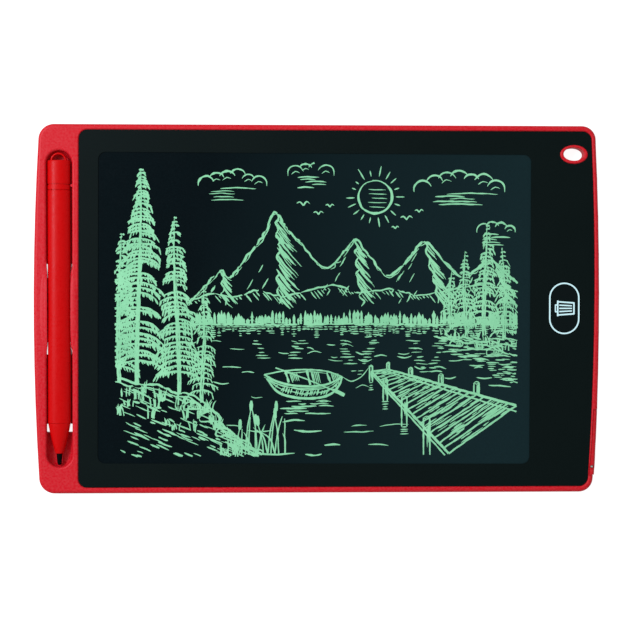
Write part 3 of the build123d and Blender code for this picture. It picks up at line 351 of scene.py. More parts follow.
# ---------------------------------------------------------------- thin printed and drawn shapes
class Ink:
    """Closed thin shapes on a flat face: ribbons and filled outlines, in mm."""

    def __init__(self, low, high, lift=0.0, seed=1):
        self.low, self.high, self.lift = low, high, lift
        self.verts, self.faces = [], []
        self.rng = random.Random(seed)
        self.area = 0.0

    def heights(self):
        return self.low, self.high + self.rng.uniform(0.0, self.lift)

    def ribbon(self, line, widths):
        """A flat bar along a line of points, with its own width at each."""
        low, high = self.heights()
        n = len(line)
        start = len(self.verts)
        for i, (x, y) in enumerate(line):
            ax, ay = line[max(i - 1, 0)]
            bx, by = line[min(i + 1, n - 1)]
            dx, dy = bx - ax, by - ay
            size = math.hypot(dx, dy) or 1.0
            ox, oy = -dy / size * widths[i] / 2, dx / size * widths[i] / 2
            for z in (high, low):
                self.verts.append((x + ox, y + oy, z))
                self.verts.append((x - ox, y - oy, z))
            if i:
                self.area += widths[i] * size / 2
        for i in range(n - 1):
            a, b = start + 4 * i, start + 4 * i + 4
            self.faces.append((a, a + 1, b + 1, b))
            self.faces.append((a + 3, a + 2, b + 2, b + 3))
            self.faces.append((a + 2, a, b, b + 2))
            self.faces.append((a + 1, a + 3, b + 3, b + 1))
        a, b = start, start + 4 * (n - 1)
        self.faces.append((a, a + 2, a + 3, a + 1))
        self.faces.append((b, b + 1, b + 3, b + 2))

    def outline(self, loops):
        """A flat plate bounded by closed loops: the outer one first, then its holes."""
        low, high = self.heights()
        flat = [p for loop in loops for p in loop]
        signed = sum(
            loops[0][i][0] * loops[0][(i + 1) % len(loops[0])][1] - loops[0][(i + 1) % len(loops[0])][0] * loops[0][i][1]
            for i in range(len(loops[0]))
        )
        start, n = len(self.verts), len(flat)
        self.verts += [(x, y, high) for x, y in flat] + [(x, y, low) for x, y in flat]
        for a, b, c in tessellate_polygon([[Vector((x, y, 0)) for x, y in loop] for loop in loops]):
            (ax, ay), (bx, by), (cx, cy) = flat[a], flat[b], flat[c]
            if (bx - ax) * (cy - ay) - (cx - ax) * (by - ay) < 0:
                b, c = c, b
            self.faces.append((start + a, start + b, start + c))
            self.faces.append((start + n + a, start + n + c, start + n + b))
        base = start
        for k, loop in enumerate(loops):
            m = len(loop)
            turn = sum(loop[i][0] * loop[(i + 1) % m][1] - loop[(i + 1) % m][0] * loop[i][1] for i in range(m))
            same = (turn > 0) == (k == 0)
            for i in range(m):
                p, q = base + i, base + (i + 1) % m
                if not same:
                    p, q = q, p
                self.faces.append((p, p + n, q + n, q))
            base += m
        self.area += abs(signed) / 2

    def make(self, name, body, finish):
        mesh = bpy.data.meshes.new(name)
        mesh.from_pydata([(x * MM, y * MM, z * MM) for x, y, z in self.verts], [], self.faces)
        mesh.validate()
        mesh.update()
        mesh.materials.append(finish.mat)
        piece = bpy.data.objects.new(name, mesh)
        bpy.context.scene.collection.objects.link(piece)
        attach(piece, body)
        return piece


def stadium(cx, cy, w, h, steps=24):
    """Capsule outline standing along Y."""
    r, s = w / 2, h / 2 - w / 2
    top = [(cx + r * math.cos(a), cy + s + r * math.sin(a)) for a in (math.pi * i / steps for i in range(steps + 1))]
    low = [(cx - r * math.cos(a), cy - s - r * math.sin(a)) for a in (math.pi * i / steps for i in range(steps + 1))]
    return top + low


def bar(x0, y0, x1, y1, r=0.3, steps=5):
    """Rectangle with round corners."""
    r = min(r, (x1 - x0) / 2 - 1e-3, (y1 - y0) / 2 - 1e-3)
    out = []
    for cx, cy, a0 in ((x1 - r, y1 - r, 0), (x0 + r, y1 - r, 90), (x0 + r, y0 + r, 180), (x1 - r, y0 + r, 270)):
        for i in range(steps + 1):
            a = math.radians(a0 + 90 * i / steps)
            out.append((cx + r * math.cos(a), cy + r * math.sin(a)))
    return out


def soft_corners(corners, steps=5):
    """Closed outline through (x, y, radius) corners, each one rounded off."""
    out = []
    for i, (x, y, r) in enumerate(corners):
        px, py, _ = corners[i - 1]
        nx, ny, _ = corners[(i + 1) % len(corners)]
        d0, d1 = Vector((px - x, py - y)).normalized(), Vector((nx - x, ny - y)).normalized()
        a, c, b = Vector((x, y)) + d0 * r, Vector((x, y)), Vector((x, y)) + d1 * r
        for k in range(steps + 1):
            t = k / steps
            p = a * (1 - t) ** 2 + c * 2 * t * (1 - t) + b * t * t
            out.append((p.x, p.y))
    return out


def paint(name, light, shade, rough):
    f = Finish(name, spec=0.35)
    w = f.grain(0.5, detail=3.0, rough=0.65)
    f.colour(f.blend(f.scale(w, 0.35, 0.75, 0.0, 1.0), light, shade))
    f.gloss(f.scale(w, 0.3, 0.7, rough - 0.06, rough + 0.08))
    f.relief(w, 0.002)
    return f


# key marks: a ring round the key, and a bin lying on its side
KX, KY, KZ = 98.1, 0.34, 5.46
print_white = paint("key_print", lin(218, 255, 255), lin(206, 247, 251), 0.45)
marks = Ink(KZ - 0.004, KZ + 0.012)
marks.outline([stadium(KX - 0.05, KY, 12.18, 20.58), stadium(KX - 0.05, KY, 11.03, 19.43)])
marks.make("key_ring_print", "erase_button", print_white)

symbol = Ink(KZ - 0.004, KZ + 0.012)


def shifted(loop):
    return [(KX + x, KY + y) for x, y in loop]


symbol.outline([
    shifted(soft_corners([
        (4.12, 2.46, 0.40), (-2.33, 2.90, 0.02), (-2.33, 3.15, 0.20), (-2.98, 3.15, 0.25), (-2.98, 1.62, 0.03),
        (-3.84, 1.60, 0.40), (-3.84, -1.60, 0.40), (-2.98, -1.62, 0.03), (-2.98, -3.15, 0.25), (-2.33, -3.15, 0.20),
        (-2.33, -2.90, 0.02), (4.12, -2.46, 0.40),
    ])),
    shifted(soft_corners([(3.52, 1.88, 0.2), (-2.36, 2.32, 0.1), (-2.36, -2.32, 0.1), (3.52, -1.88, 0.2)])),
    shifted(soft_corners([(-3.02, 1.12, 0.1), (-3.40, 1.12, 0.15), (-3.40, -1.12, 0.15), (-3.02, -1.12, 0.1)])),
])
for left_y, right_y in ((1.28, 1.02), (0.0, 0.0), (-1.28, -1.02)):
    symbol.outline([shifted(soft_corners([
        (3.05, right_y + 0.25, 0.15), (-2.06, left_y + 0.27, 0.15), (-2.06, left_y - 0.27, 0.15), (3.05, right_y - 0.25, 0.15),
    ]))])
symbol.make("key_bin_print", "erase_button", print_white)

# lock marks on the floor of the slider's recess, one each side of the knob
print_grey = paint("lock_print", lin(226, 214, 214), lin(206, 192, 194), 0.5)
locks = Ink(0.480, 0.506)
for cx, open_ in ((88.75, False), (100.35, True)):
    cy = 22.0
    locks.outline([[(cx + x, cy + y) for x, y in bar(-0.75, -1.05, 0.75, 0.15, 0.2)]])
    rise = 0.35 if open_ else 0.1
    bow = [(cx + 0.48 * math.cos(a), cy + rise + 0.5 * math.sin(a)) for a in (math.pi * i / 12 for i in range(13))]
    if open_:
        bow = bow + [(cx - 0.48, cy + 0.15)]
        bow = [(cx + 0.48, cy + rise - 0.05)] + bow
    else:
        bow = [(cx + 0.48, cy + 0.1)] + bow + [(cx - 0.48, cy + 0.1)]
    bow = [p for i, p in enumerate(bow) if i == 0 or math.dist(p, bow[i - 1]) > 0.02]
    locks.ribbon(bow, [0.2] * len(bow))
locks.make("lock_print", "root", print_grey)


# ---------------------------------------------------------------- the drawing on the screen
Z0 = 5.090
art = Ink(Z0 - 0.006, Z0 + 0.012, lift=0.010, seed=7)
rng = random.Random(4107)
LEFT, RIGHT, LOW, HIGH = -80.5, 79.5, -58.5, 58.0


def curve(points, step):
    """Points evenly spaced on a smooth line through the given ones."""
    if len(points) == 2:
        (ax, ay), (bx, by) = points
        n = max(2, int(math.dist(*points) / step) + 1)
        return [(ax + (bx - ax) * i / n, ay + (by - ay) * i / n) for i in range(n + 1)]
    full = [points[0]] + list(points) + [points[-1]]
    out = []
    for i in range(1, len(full) - 2):
        p0, p1, p2, p3 = full[i - 1 : i + 3]
        n = max(2, int(math.dist(p1, p2) / step + 0.5))
        for k in range(n):
            t = k / n
            out.append(
                tuple(
                    0.5 * (2 * b + (c - a) * t + (2 * a - 5 * b + 4 * c - d) * t * t + (3 * b - a - 3 * c + d) * t**3)
                    for a, b, c, d in zip(p0, p1, p2, p3)
                )
            )
    out.append(tuple(points[-1]))
    return out


def stroke(points, w=0.5, shake=0.12, step=0.9, thin=(0.30, 0.30), rough=0.30):
    """One pen line: it wavers a little, and its width swells between thin ends."""
    line = curve(points, step)
    line = [p for i, p in enumerate(line) if i == 0 or math.dist(p, line[i - 1]) > 0.05]
    if len(line) < 2:
        return
    n, s = len(line), rng.uniform(0, 900)
    done, widths = [], []
    for i, (x, y) in enumerate(line):
        t = i / (n - 1)
        u = s + i * step * 0.32
        x += shake * 2.0 * noise.noise((u, 3.1, 0.0))
        y += shake * 2.0 * noise.noise((u, 9.7, 4.0))
        if not (LEFT < x < RIGHT and LOW < y < HIGH):
            if len(done) > 2:
                break
            done, widths = [], []
            continue
        head = thin[0] + (1 - thin[0]) * min(1.0, t / 0.22)
        tail = thin[1] + (1 - thin[1]) * min(1.0, (1 - t) / 0.30)
        done.append((x, y))
        widths.append(max(0.10, 0.90 * w * min(head, tail) * (1 + rough * 2.0 * noise.noise((u * 1.7, 21.0, 8.0)))))
    if len(done) > 1:
        art.ribbon(done, widths)


def broken(points, w=0.5, gap=0.25, run=(5, 14), **more):
    """A line drawn in several goes, with gaps."""
    line = curve(points, 0.9)
    i = 0
    while i < len(line) - 2:
        n = int(rng.uniform(*run))
        part = line[i : i + n + 1]
        if len(part) > 2:
            stroke(part[:: max(1, len(part) // 5)] + [part[-1]] if len(part) > 6 else part, w * rng.uniform(0.8, 1.2), **more)
        i += n + (int(rng.uniform(1, 4)) if rng.random() < gap else 0)


def inside(p, poly):
    x, y = p
    hit = False
    for i in range(len(poly)):
        (ax, ay), (bx, by) = poly[i - 1], poly[i]
        if (ay > y) != (by > y) and x < (bx - ax) * (y - ay) / (by - ay) + ax:
            hit = not hit
    return hit


# areas that later strokes keep out of
BOAT_AREA = [(-24, -25), (-20, -34.5), (-8, -38.5), (8, -37), (13, -27), (12, -22), (-12, -20.5), (-25, -20)]
PIER_AREA = [(19, -22.5), (28, -21.5), (80, -37), (80, -60), (60, -60), (17, -27)]


def free(p):
    return not inside(p, BOAT_AREA) and not inside(p, PIER_AREA)


def ridge(line, x):
    for (ax, ay), (bx, by) in zip(line, line[1:]):
        if ax <= x <= bx:
            return ay + (by - ay) * (x - ax) / (bx - ax)
    return -99.0


SHORE = -6.0
PEAKS = [(-52, 2), (-45, 9), (-39, 15), (-35, 12.5), (-29, 20), (-22, 29), (-17.5, 38.5), (-14, 34), (-11, 30), (-6, 25), (-1, 19),
         (4, 16.5), (9, 21), (14, 27.5), (17, 25), (21, 20), (27, 13.5), (33, 17), (38, 23), (42, 27), (45.5, 24.5), (51, 18), (57, 13), (63, 16),
         (69, 19.5), (74, 15), (80, 10)]


def mountains():
    # skyline, drawn twice in places
    broken(PEAKS, 0.95, gap=0.15, shake=0.35)
    broken([(x + 0.4, y - 0.7) for x, y in PEAKS], 0.45, gap=0.7, shake=0.4)
    tops = [(-39, 15), (-17.5, 38.5), (14, 27.5), (42, 27), (69, 19.5)]
    for tx, ty in tops:
        # the crest that comes down towards the viewer, in zigzags
        x, y = tx, ty
        path = [(x, y)]
        side = 1
        while y > SHORE + 9:
            x += side * rng.uniform(0.8, 2.0) + 0.35
            y -= rng.uniform(1.6, 3.0)
            side = -side
            path.append((x, y))
        broken(path, 0.8, gap=0.2, shake=0.15)
        # shaded side: long slanting lines to the right of the crest
        for k, (px, py) in enumerate(path[:-1]):
            for j in range(3):
                f = (j + rng.random()) / 3
                qx = px + (path[k + 1][0] - px) * f
                qy = py + (path[k + 1][1] - py) * f
                length = rng.uniform(3.0, 9.5) * (0.5 + 0.9 * min(1.0, (ty - qy) / 9))
                ex, ey = qx + length * 0.66, qy - length * 0.80
                if ey < SHORE + 6 or ey > ridge(PEAKS, ex) - 0.6:
                    continue
                stroke([(qx, qy), (qx + length * 0.30, qy - length * 0.42), (ex, ey)], rng.uniform(0.35, 0.95), shake=0.18)
        # light side: a few short marks
        for _ in range(9):
            f = rng.random()
            qy = ty - (ty - SHORE - 10) * f
            qx = tx - rng.uniform(1.0, 3.0 + 11 * f)
            if qy > ridge(PEAKS, qx) - 1.5:
                continue
            length = rng.uniform(2.0, 5.5)
            stroke([(qx, qy), (qx - length * 0.45, qy - length * 0.75)], rng.uniform(0.3, 0.6), shake=0.15)
    # lower hills in front
    hills = [(-50, 3.5), (-42, 6), (-33, 5), (-24, 7.5), (-15, 5), (-5, 7), (6, 9.5), (16, 6.5), (28, 8), (40, 5.5), (52, 7.5), (64, 9.5), (80, 7)]
    broken(hills, 0.7, gap=0.2, shake=0.3)
    for x in [v * 1.35 - 49 for v in range(95)]:
        y = ridge(hills, x)
        if rng.random() < 0.75:
            length = rng.uniform(1.4, 4.6)
            stroke([(x, y - 0.5), (x + length * 0.55, y - length * 0.8)], rng.uniform(0.3, 0.75), shake=0.1)


def far_trees():
    x = -50.0
    while x < 79.5:
        tall = rng.uniform(2.2, 5.2) + 2.2 * max(0.0, noise.noise((x * 0.09, 2.0, 0)))
        base = SHORE + rng.uniform(-0.2, 0.5)
        stroke([(x, base), (x + rng.uniform(-0.15, 0.15), base + tall)], rng.uniform(0.9, 1.7), shake=0.05, thin=(1.0, 0.08), step=0.6)
        if rng.random() < 0.6:
            for f in (0.35, 0.6):
                r = rng.uniform(0.7, 1.3) * (1 - f * 0.6)
                stroke([(x - r, base + tall * f - 0.35), (x, base + tall * f), (x + r, base + tall * f - 0.35)], 0.35, shake=0.04, step=0.5)
        x += rng.uniform(0.85, 1.9)
    broken([(-50, SHORE), (-20, SHORE - 0.3), (10, SHORE + 0.1), (45, SHORE - 0.3), (79, SHORE)], 1.0, gap=0.2, shake=0.2)
    # their reflection, broken by the water
    x = -49.0
    while x < 79.0:
        deep = rng.uniform(1.8, 5.4)
        y = SHORE - 1.0
        while y > SHORE - deep:
            half = rng.uniform(0.35, 1.25)
            stroke([(x - half, y), (x + half, y + rng.uniform(-0.1, 0.1))], rng.uniform(0.30, 0.60), shake=0.05, step=0.6)
            y -= rng.uniform(0.65, 1.05)
        x += rng.uniform(1.1, 2.4)


def water():
    # broad mirror of the tallest peaks
    for tx, ty in ((-17.5, 38.5), (14, 27.5), (42, 27)):
        tall = (ty - SHORE) * 0.62
        y = SHORE - 6.5
        while y > SHORE - tall:
            f = (SHORE - y) / tall
            half = (1 - f) * tall * 0.42 + 0.6
            for side in (-1, 1):
                mid = tx + side * half * rng.uniform(0.8, 1.05) + 1.5
                r = rng.uniform(0.8, 3.0)
                a, b = (mid - r, y), (mid + r, y + rng.uniform(-0.2, 0.2))
                if free(a) and free(b):
                    stroke([a, b], rng.uniform(0.3, 0.6), shake=0.08)
            y -= rng.uniform(1.0, 1.9)
    # ripples, longer and further apart nearer the viewer
    y = SHORE - 7
    while y > -57.5:
        f = (SHORE - 7 - y) / 44
        x = -52.0 + rng.uniform(0, 14)
        while x < 79:
            length = rng.uniform(2.5, 7.0) * (0.7 + 1.6 * f)
            a, b, m = (x, y + rng.uniform(-0.5, 0.5)), (x + length, y + rng.uniform(-0.5, 0.5)), None
            m = ((a[0] + b[0]) / 2, y + rng.uniform(0.2, 0.7) * rng.choice((-1, 1)))
            if free(a) and free(b) and free(m) and not (a[0] < -38 and y < -30) and rng.random() < 0.52:
                stroke([a, m, b], rng.uniform(0.32, 0.70) * (0.8 + 0.5 * f), shake=0.12)
            x += length + rng.uniform(2.0, 15.0)
        y -= rng.uniform(1.3, 2.1) * (0.8 + 0.9 * f)


def pine(x, base, top, spread, w=0.6, lean=0.0, gap=1.0):
    """A tall fir: trunk, drooping boughs, and hanging twigs."""
    tall = top - base

    def trunk(y):
        f = (y - base) / tall
        return x + lean * f + 0.5 * math.sin(f * 5 + x)

    ys = [base + tall * k / 6 for k in range(7)]
    stroke([(trunk(y) - 0.35, y) for y in ys], w * 1.5, shake=0.15, thin=(1.0, 0.2))
    stroke([(trunk(y) + 0.45, y) for y in ys[:5]], w * 1.1, shake=0.15, thin=(1.0, 0.2))
    y = top - 0.4
    while y > base + tall * 0.10:
        f = (top - y) / tall
        for side in (-1, 1):
            if rng.random() < 0.07:
                continue
            reach = spread * (0.06 + 0.94 * f**0.80) * rng.uniform(0.62, 1.08)
            drop = reach * rng.uniform(0.22, 0.48)
            bx, by = trunk(y), y
            tipx, tipy = bx + side * reach, by - drop
            midx, midy = bx + side * reach * 0.55, by - drop * 0.28
            stroke([(bx, by), (midx, midy), (tipx, tipy)], w * rng.uniform(0.9, 1.5), shake=0.14, thin=(0.6, 0.35))
            n = int(reach / 1.05)
            for j in range(n):
                u = (j + 0.4 + 0.5 * rng.random()) / (n + 0.2)
                px = bx + side * reach * u
                py = by - drop * (u * u * 0.75 + u * 0.25)
                hang = rng.uniform(0.8, 2.3) * (0.55 + 0.75 * u)
                stroke([(px, py), (px + side * hang * rng.uniform(0.1, 0.7), py - hang)], w * rng.uniform(0.7, 1.25), shake=0.05, thin=(0.8, 0.25), step=0.8)
        y -= rng.uniform(1.25, 2.25) * gap * (0.75 + 0.55 * f)


def grass(x, y, tall, n, w=0.5):
    for _ in range(n):
        bend = rng.uniform(-0.45, 0.45)
        h = tall * rng.uniform(0.5, 1.0)
        bx = x + rng.uniform(-1.6, 1.6)
        stroke([(bx, y + rng.uniform(-0.6, 0.4)), (bx + bend * h * 0.35, y + h * 0.6), (bx + bend * h, y + h)], w * rng.uniform(0.7, 1.3), shake=0.06, thin=(0.9, 0.12))


def stone(cx, cy, rx, ry):
    n = 9
    ring = []
    for i in range(n):
        a = math.tau * i / n
        r = 1 + 0.28 * noise.noise((cx + math.cos(a) * 2, cy + math.sin(a) * 2, 1.0))
        ring.append((cx + rx * r * math.cos(a), cy + max(-0.35 * ry, ry * r * math.sin(a))))
    broken(ring + ring[:2], 0.7, gap=0.15, shake=0.1)
    for k in range(int(rx * 1.6)):
        px = cx - rx * 0.1 + k * 0.62 * rng.uniform(0.8, 1.2)
        if px > cx + rx * 0.85:
            break
        h = ry * rng.uniform(0.4, 0.9)
        stroke([(px, cy + h * 0.75), (px + 0.45, cy - 0.25 * ry)], rng.uniform(0.3, 0.6), shake=0.06)


def left_bank():
    bank = [(-80, -27), (-72, -29.5), (-64, -30), (-57, -33), (-50, -34), (-45, -37.5), (-41, -41), (-38, -46), (-33, -50), (-27, -55), (-22, -58)]
    broken(bank, 1.0, gap=0.1, shake=0.35)
    broken([(x - 0.8, y - 1.3) for x, y in bank], 0.6, gap=0.4, shake=0.4)
    for i in range(150):
        f = rng.random()
        x = -80 + 56 * f
        edge = ridge(bank, x) if x < -22 else -58
        y = edge - 1.2 - (edge + 57) * rng.random() ** 1.2
        length = rng.uniform(1.6, 6.0)
        stroke([(x, y), (x + length * 0.6, y - length * 0.25), (x + length, y - length * 0.42)], rng.uniform(0.3, 0.8), shake=0.15)
    for x, y, rx, ry in ((-43, -43.5, 4.2, 3.0), (-37.5, -49.5, 3.4, 2.4), (-50, -38.8, 3.2, 2.2), (-30, -54.5, 3.4, 2.2), (-24, -57, 2.0, 1.2)):
        stone(x, y, rx, ry)
    for i in range(30):
        x = -79 + 50 * (i / 30) + rng.uniform(-1, 1)
        grass(x, ridge(bank, x) - rng.uniform(0.5, 15.0), rng.uniform(3.0, 6.0), 5, 0.55)
    # reeds in the shallows with seed heads
    for i in range(13):
        x = -34 + i * 1.7 + rng.uniform(-0.5, 0.5)
        base = -57.8
        h = rng.uniform(11, 21) * (1 - 0.035 * abs(i - 5))
        lean = rng.uniform(-3.0, 3.5)
        stroke([(x, base), (x + lean * 0.35, base + h * 0.55), (x + lean, base + h)], 0.55, shake=0.08, thin=(1.0, 0.6))
        if i % 2:
            tx, ty = x + lean, base + h
            stroke([(tx, ty - 0.6), (tx + lean * 0.07, ty + 3.4)], 1.5, shake=0.03, thin=(0.7, 0.5), rough=0.1)
        else:
            stroke([(x, base), (x - lean * 0.6, base + h * 0.4), (x - lean * 1.6 - 1, base + h * 0.6)], 0.7, shake=0.06, thin=(0.8, 0.1))


def clouds():
    def puff(cx, cy, w, h, n):
        arcs = []
        for k in range(n):
            f = (k + 0.5) / n
            bx = cx - w / 2 + w * f
            by = cy + h * math.sin(math.pi * f) * rng.uniform(0.65, 1.0)
            r = w / n * rng.uniform(0.62, 0.85)
            arcs.append((bx, by, r))
        for k, (bx, by, r) in enumerate(arcs):
            a0, a1 = (195, 20) if k == 0 else ((160, -15) if k == n - 1 else (155, 25))
            pts = [(bx + r * math.cos(math.radians(a0 + (a1 - a0) * t / 6)), by + r * math.sin(math.radians(a0 + (a1 - a0) * t / 6))) for t in range(7)]
            stroke(pts, rng.uniform(0.55, 0.9), shake=0.12)
            if rng.random() < 0.7:
                q = r * 0.55
                stroke([(bx - q, by - q * 0.1), (bx - q * 0.1, by + q * 0.5), (bx + q * 0.8, by + q * 0.2)], 0.4, shake=0.1)
        y = cy - 0.8
        for k in range(5):
            half = w * rng.uniform(0.12, 0.30)
            mx = cx + rng.uniform(-w * 0.22, w * 0.22)
            stroke([(mx - half, y), (mx, y + 0.3), (mx + half, y)], rng.uniform(0.35, 0.7), shake=0.12)
            y -= rng.uniform(0.8, 1.3)

    puff(-34, 48.5, 25, 4.0, 6)
    puff(56, 46.5, 34, 5.4, 7)
    puff(-3, 53.0, 16, 2.2, 4)
    puff(71, 30.5, 14, 2.0, 4)


def sun():
    cx, cy, r = 22.5, 44.5, 6.6
    for k in range(2):
        pts = [(cx + (r + 0.35 * k) * math.cos(a), cy + (r - 0.25 * k) * math.sin(a)) for a in (math.radians(100 + 20 * k - 24 * i) for i in range(16))]
        stroke(pts, 0.8 - 0.2 * k, shake=0.16)
    for k in range(18):
        a = math.tau * k / 18 + rng.uniform(-0.05, 0.05)
        r0, r1 = r + 1.6, r + rng.uniform(3.2, 6.4)
        stroke([(cx + r0 * math.cos(a), cy + r0 * math.sin(a)), (cx + r1 * math.cos(a), cy + r1 * math.sin(a))], 0.6, shake=0.08)
    for k in range(5):
        y = cy + 3.0 - k * 1.7
        half = 0.72 * math.sqrt(max(0.1, r * r - (y - cy) ** 2))
        stroke([(cx - half * rng.uniform(0.2, 0.9), y), (cx + half, y - 0.25)], 0.4, shake=0.08)


def birds():
    for x, y, s in ((-6, 41, 2.6), (0, 37.5, 2.0), (4.5, 40.5, 1.7), (35, 35.5, 2.4), (40, 38.5, 1.7), (30.5, 32.0, 1.5)):
        stroke([(x - s, y + s * 0.35), (x - s * 0.5, y + s * 0.55), (x, y)], 0.6, shake=0.04, thin=(0.2, 0.9), step=0.5)
        stroke([(x, y), (x + s * 0.5, y + s * 0.62), (x + s, y + s * 0.30)], 0.6, shake=0.04, thin=(0.9, 0.2), step=0.5)


def boat():
    near = [(-21.5, -26.0), (-15, -29.2), (-6, -30.6), (3, -30.0), (9.5, -26.8)]
    far = [(-21.5, -26.0), (-14, -24.6), (-5, -24.0), (3, -24.6), (9.5, -26.8)]
    keel = [(-20.5, -27.6), (-15.5, -33.2), (-6, -35.4), (3.5, -34.4), (8.2, -30.4), (9.5, -26.8)]
    stroke(near, 1.0, shake=0.08, thin=(0.7, 0.7))
    stroke([(x, y - 0.95) for x, y in near[:-1]], 0.5, shake=0.1)
    stroke(far, 0.7, shake=0.08, thin=(0.7, 0.7))
    stroke([(x + 0.4, y - 0.9) for x, y in far[1:-1]], 0.4, shake=0.1)
    stroke(keel, 1.1, shake=0.1, thin=(0.6, 0.7))
    for f in (0.33, 0.64):
        line = []
        for k in range(9):
            t = k / 8
            x = -20.5 + 29.2 * t
            top = ridge(near, x)
            low = ridge(keel, x)
            line.append((x, top + (low - top) * f))
        broken(line, 0.45, gap=0.2, run=(8, 18), shake=0.08)
    for k in range(30):
        t = k / 29
        x = -19.5 + 27.5 * t + rng.uniform(-0.2, 0.2)
        top, low = ridge(near, x) - 1.2, ridge(keel, x) + 0.4
        if rng.random() < 0.72:
            stroke([(x + 0.5, top - rng.uniform(0, 1)), (x - 0.3, low + rng.uniform(0, 0.6))], rng.uniform(0.4, 0.85), shake=0.08)
    for x in (-12.5, -4.0, 4.0):
        a, b = (x - 0.6, ridge(far, x) - 0.3), (x + 0.8, ridge(near, x) + 0.4)
        stroke([a, b], 0.9, shake=0.05, thin=(0.9, 0.9))
        stroke([(a[0] + 1.6, a[1]), (b[0] + 1.6, b[1])], 0.5, shake=0.05)
        for k in range(4):
            stroke([(a[0] + 2.2 + k * 0.7, a[1] - 0.2), (b[0] + 2.0 + k * 0.7, b[1] + 0.7)], 0.45, shake=0.05)
    # oars laid across, and the mooring line to the landing stage
    stroke([(-17, -23.2), (-6, -27.3), (2.0, -30.6), (6.5, -32.4)], 0.6, shake=0.05, thin=(0.9, 0.9))
    stroke([(5.6, -32.0), (8.0, -33.0), (10.4, -34.2)], 1.7, shake=0.03, thin=(0.5, 0.8), rough=0.1)
    stroke([(9.5, -26.8), (13.0, -28.6), (17.0, -26.9), (20.2, -23.0)], 0.45, shake=0.05)
    # reflection
    y = -36.6
    while y > -41.5:
        f = (y + 36.6) / -5
        for _ in range(3):
            c = rng.uniform(-15 + 4 * f, 5 - 3 * f)
            r = rng.uniform(1.5, 4.5)
            stroke([(c - r, y), (c, y + rng.uniform(-0.3, 0.3)), (c + r, y)], rng.uniform(0.4, 0.75), shake=0.1)
        y -= rng.uniform(0.8, 1.2)


def landing_stage():
    def edge(f, side):
        """A point on the deck: f runs from its far end to the viewer, side from left to right."""
        g = f**1.35
        ax, ay = 21.0 + (52.0 - 21.0) * g, -24.6 + (-57.5 + 24.6) * g
        bx, by = 27.5 + (79.0 - 27.5) * g, -23.8 + (-38.5 + 23.8) * g
        return ax + (bx - ax) * side, ay + (by - ay) * side

    for side in (0.0, 1.0):
        stroke([edge(f / 12, side) for f in range(13)], 1.1, shake=0.08, thin=(0.6, 1.0))
        stroke([(edge(f / 12, side)[0], edge(f / 12, side)[1] - 0.9 - 1.4 * f / 12) for f in range(13)], 0.7, shake=0.1, thin=(0.6, 1.0))
    n = 21
    for k in range(n + 1):
        f = k / n
        a, b = edge(f, 0.0), edge(f, 1.0)
        stroke([a, ((a[0] + b[0]) / 2, (a[1] + b[1]) / 2), b], 0.45 + 0.35 * f, shake=0.10, thin=(0.9, 0.9))
        if k < n:
            for _ in range(3 + int(6 * f)):
                g = f + rng.uniform(0.15, 0.85) / n
                s0 = rng.uniform(0.02, 0.8)
                s1 = min(0.98, s0 + rng.uniform(0.08, 0.34))
                stroke([edge(g, s0), edge(g, s1)], rng.uniform(0.28, 0.55) * (0.7 + 0.6 * f), shake=0.08)
    # piles on the left edge, with their reflections
    for f, tall in ((0.03, 4.5), (0.30, 6.0), (0.55, 8.2), (0.80, 11.0)):
        x, y = edge(f, 0.0)
        half = 0.55 + 0.9 * f
        x -= half * 0.6
        up, down = tall * 0.52, tall * 0.9
        for s in (-1, 1):
            stroke([(x + s * half, y + up), (x + s * half, y - down)], 0.7, shake=0.06, thin=(0.9, 0.7))
        stroke([(x - half, y + up), (x, y + up + half * 0.5), (x + half, y + up), (x, y + up - half * 0.5), (x - half, y + up)], 0.5, shake=0.03, step=0.5)
        for k in range(int(3 + 5 * f)):
            px = x + half * rng.uniform(-0.1, 0.8)
            a = y + up - 0.8 - rng.uniform(0, up)
            stroke([(px, a), (px, a - rng.uniform(1.5, down))], 0.45, shake=0.05)
        yy = y - down - 0.3
        for k in range(4):
            r = half * rng.uniform(0.9, 1.9)
            if yy > -57.5:
                stroke([(x - r, yy), (x + r, yy + 0.1)], 0.5, shake=0.06)
            yy -= rng.uniform(0.8, 1.1)
    for f, tall in ((0.02, 4.0), (0.28, 4.8), (0.52, 6.0), (0.76, 7.4)):
        x, y = edge(f, 1.0)
        half = 0.5 + 0.7 * f
        for s in (-1, 1):
            stroke([(x + s * half, y), (x + s * half, y + tall * 0.62)], 0.65, shake=0.05, thin=(0.9, 0.7))
        top = y + tall * 0.62
        stroke([(x - half, top), (x, top + half * 0.5), (x + half, top), (x, top - half * 0.5), (x - half, top)], 0.5, shake=0.03, step=0.5)
        for k in range(4):
            stroke([(x + half * rng.uniform(0, 0.8), top - 0.6), (x + half * rng.uniform(0, 0.8), y + 0.3)], 0.45, shake=0.04)


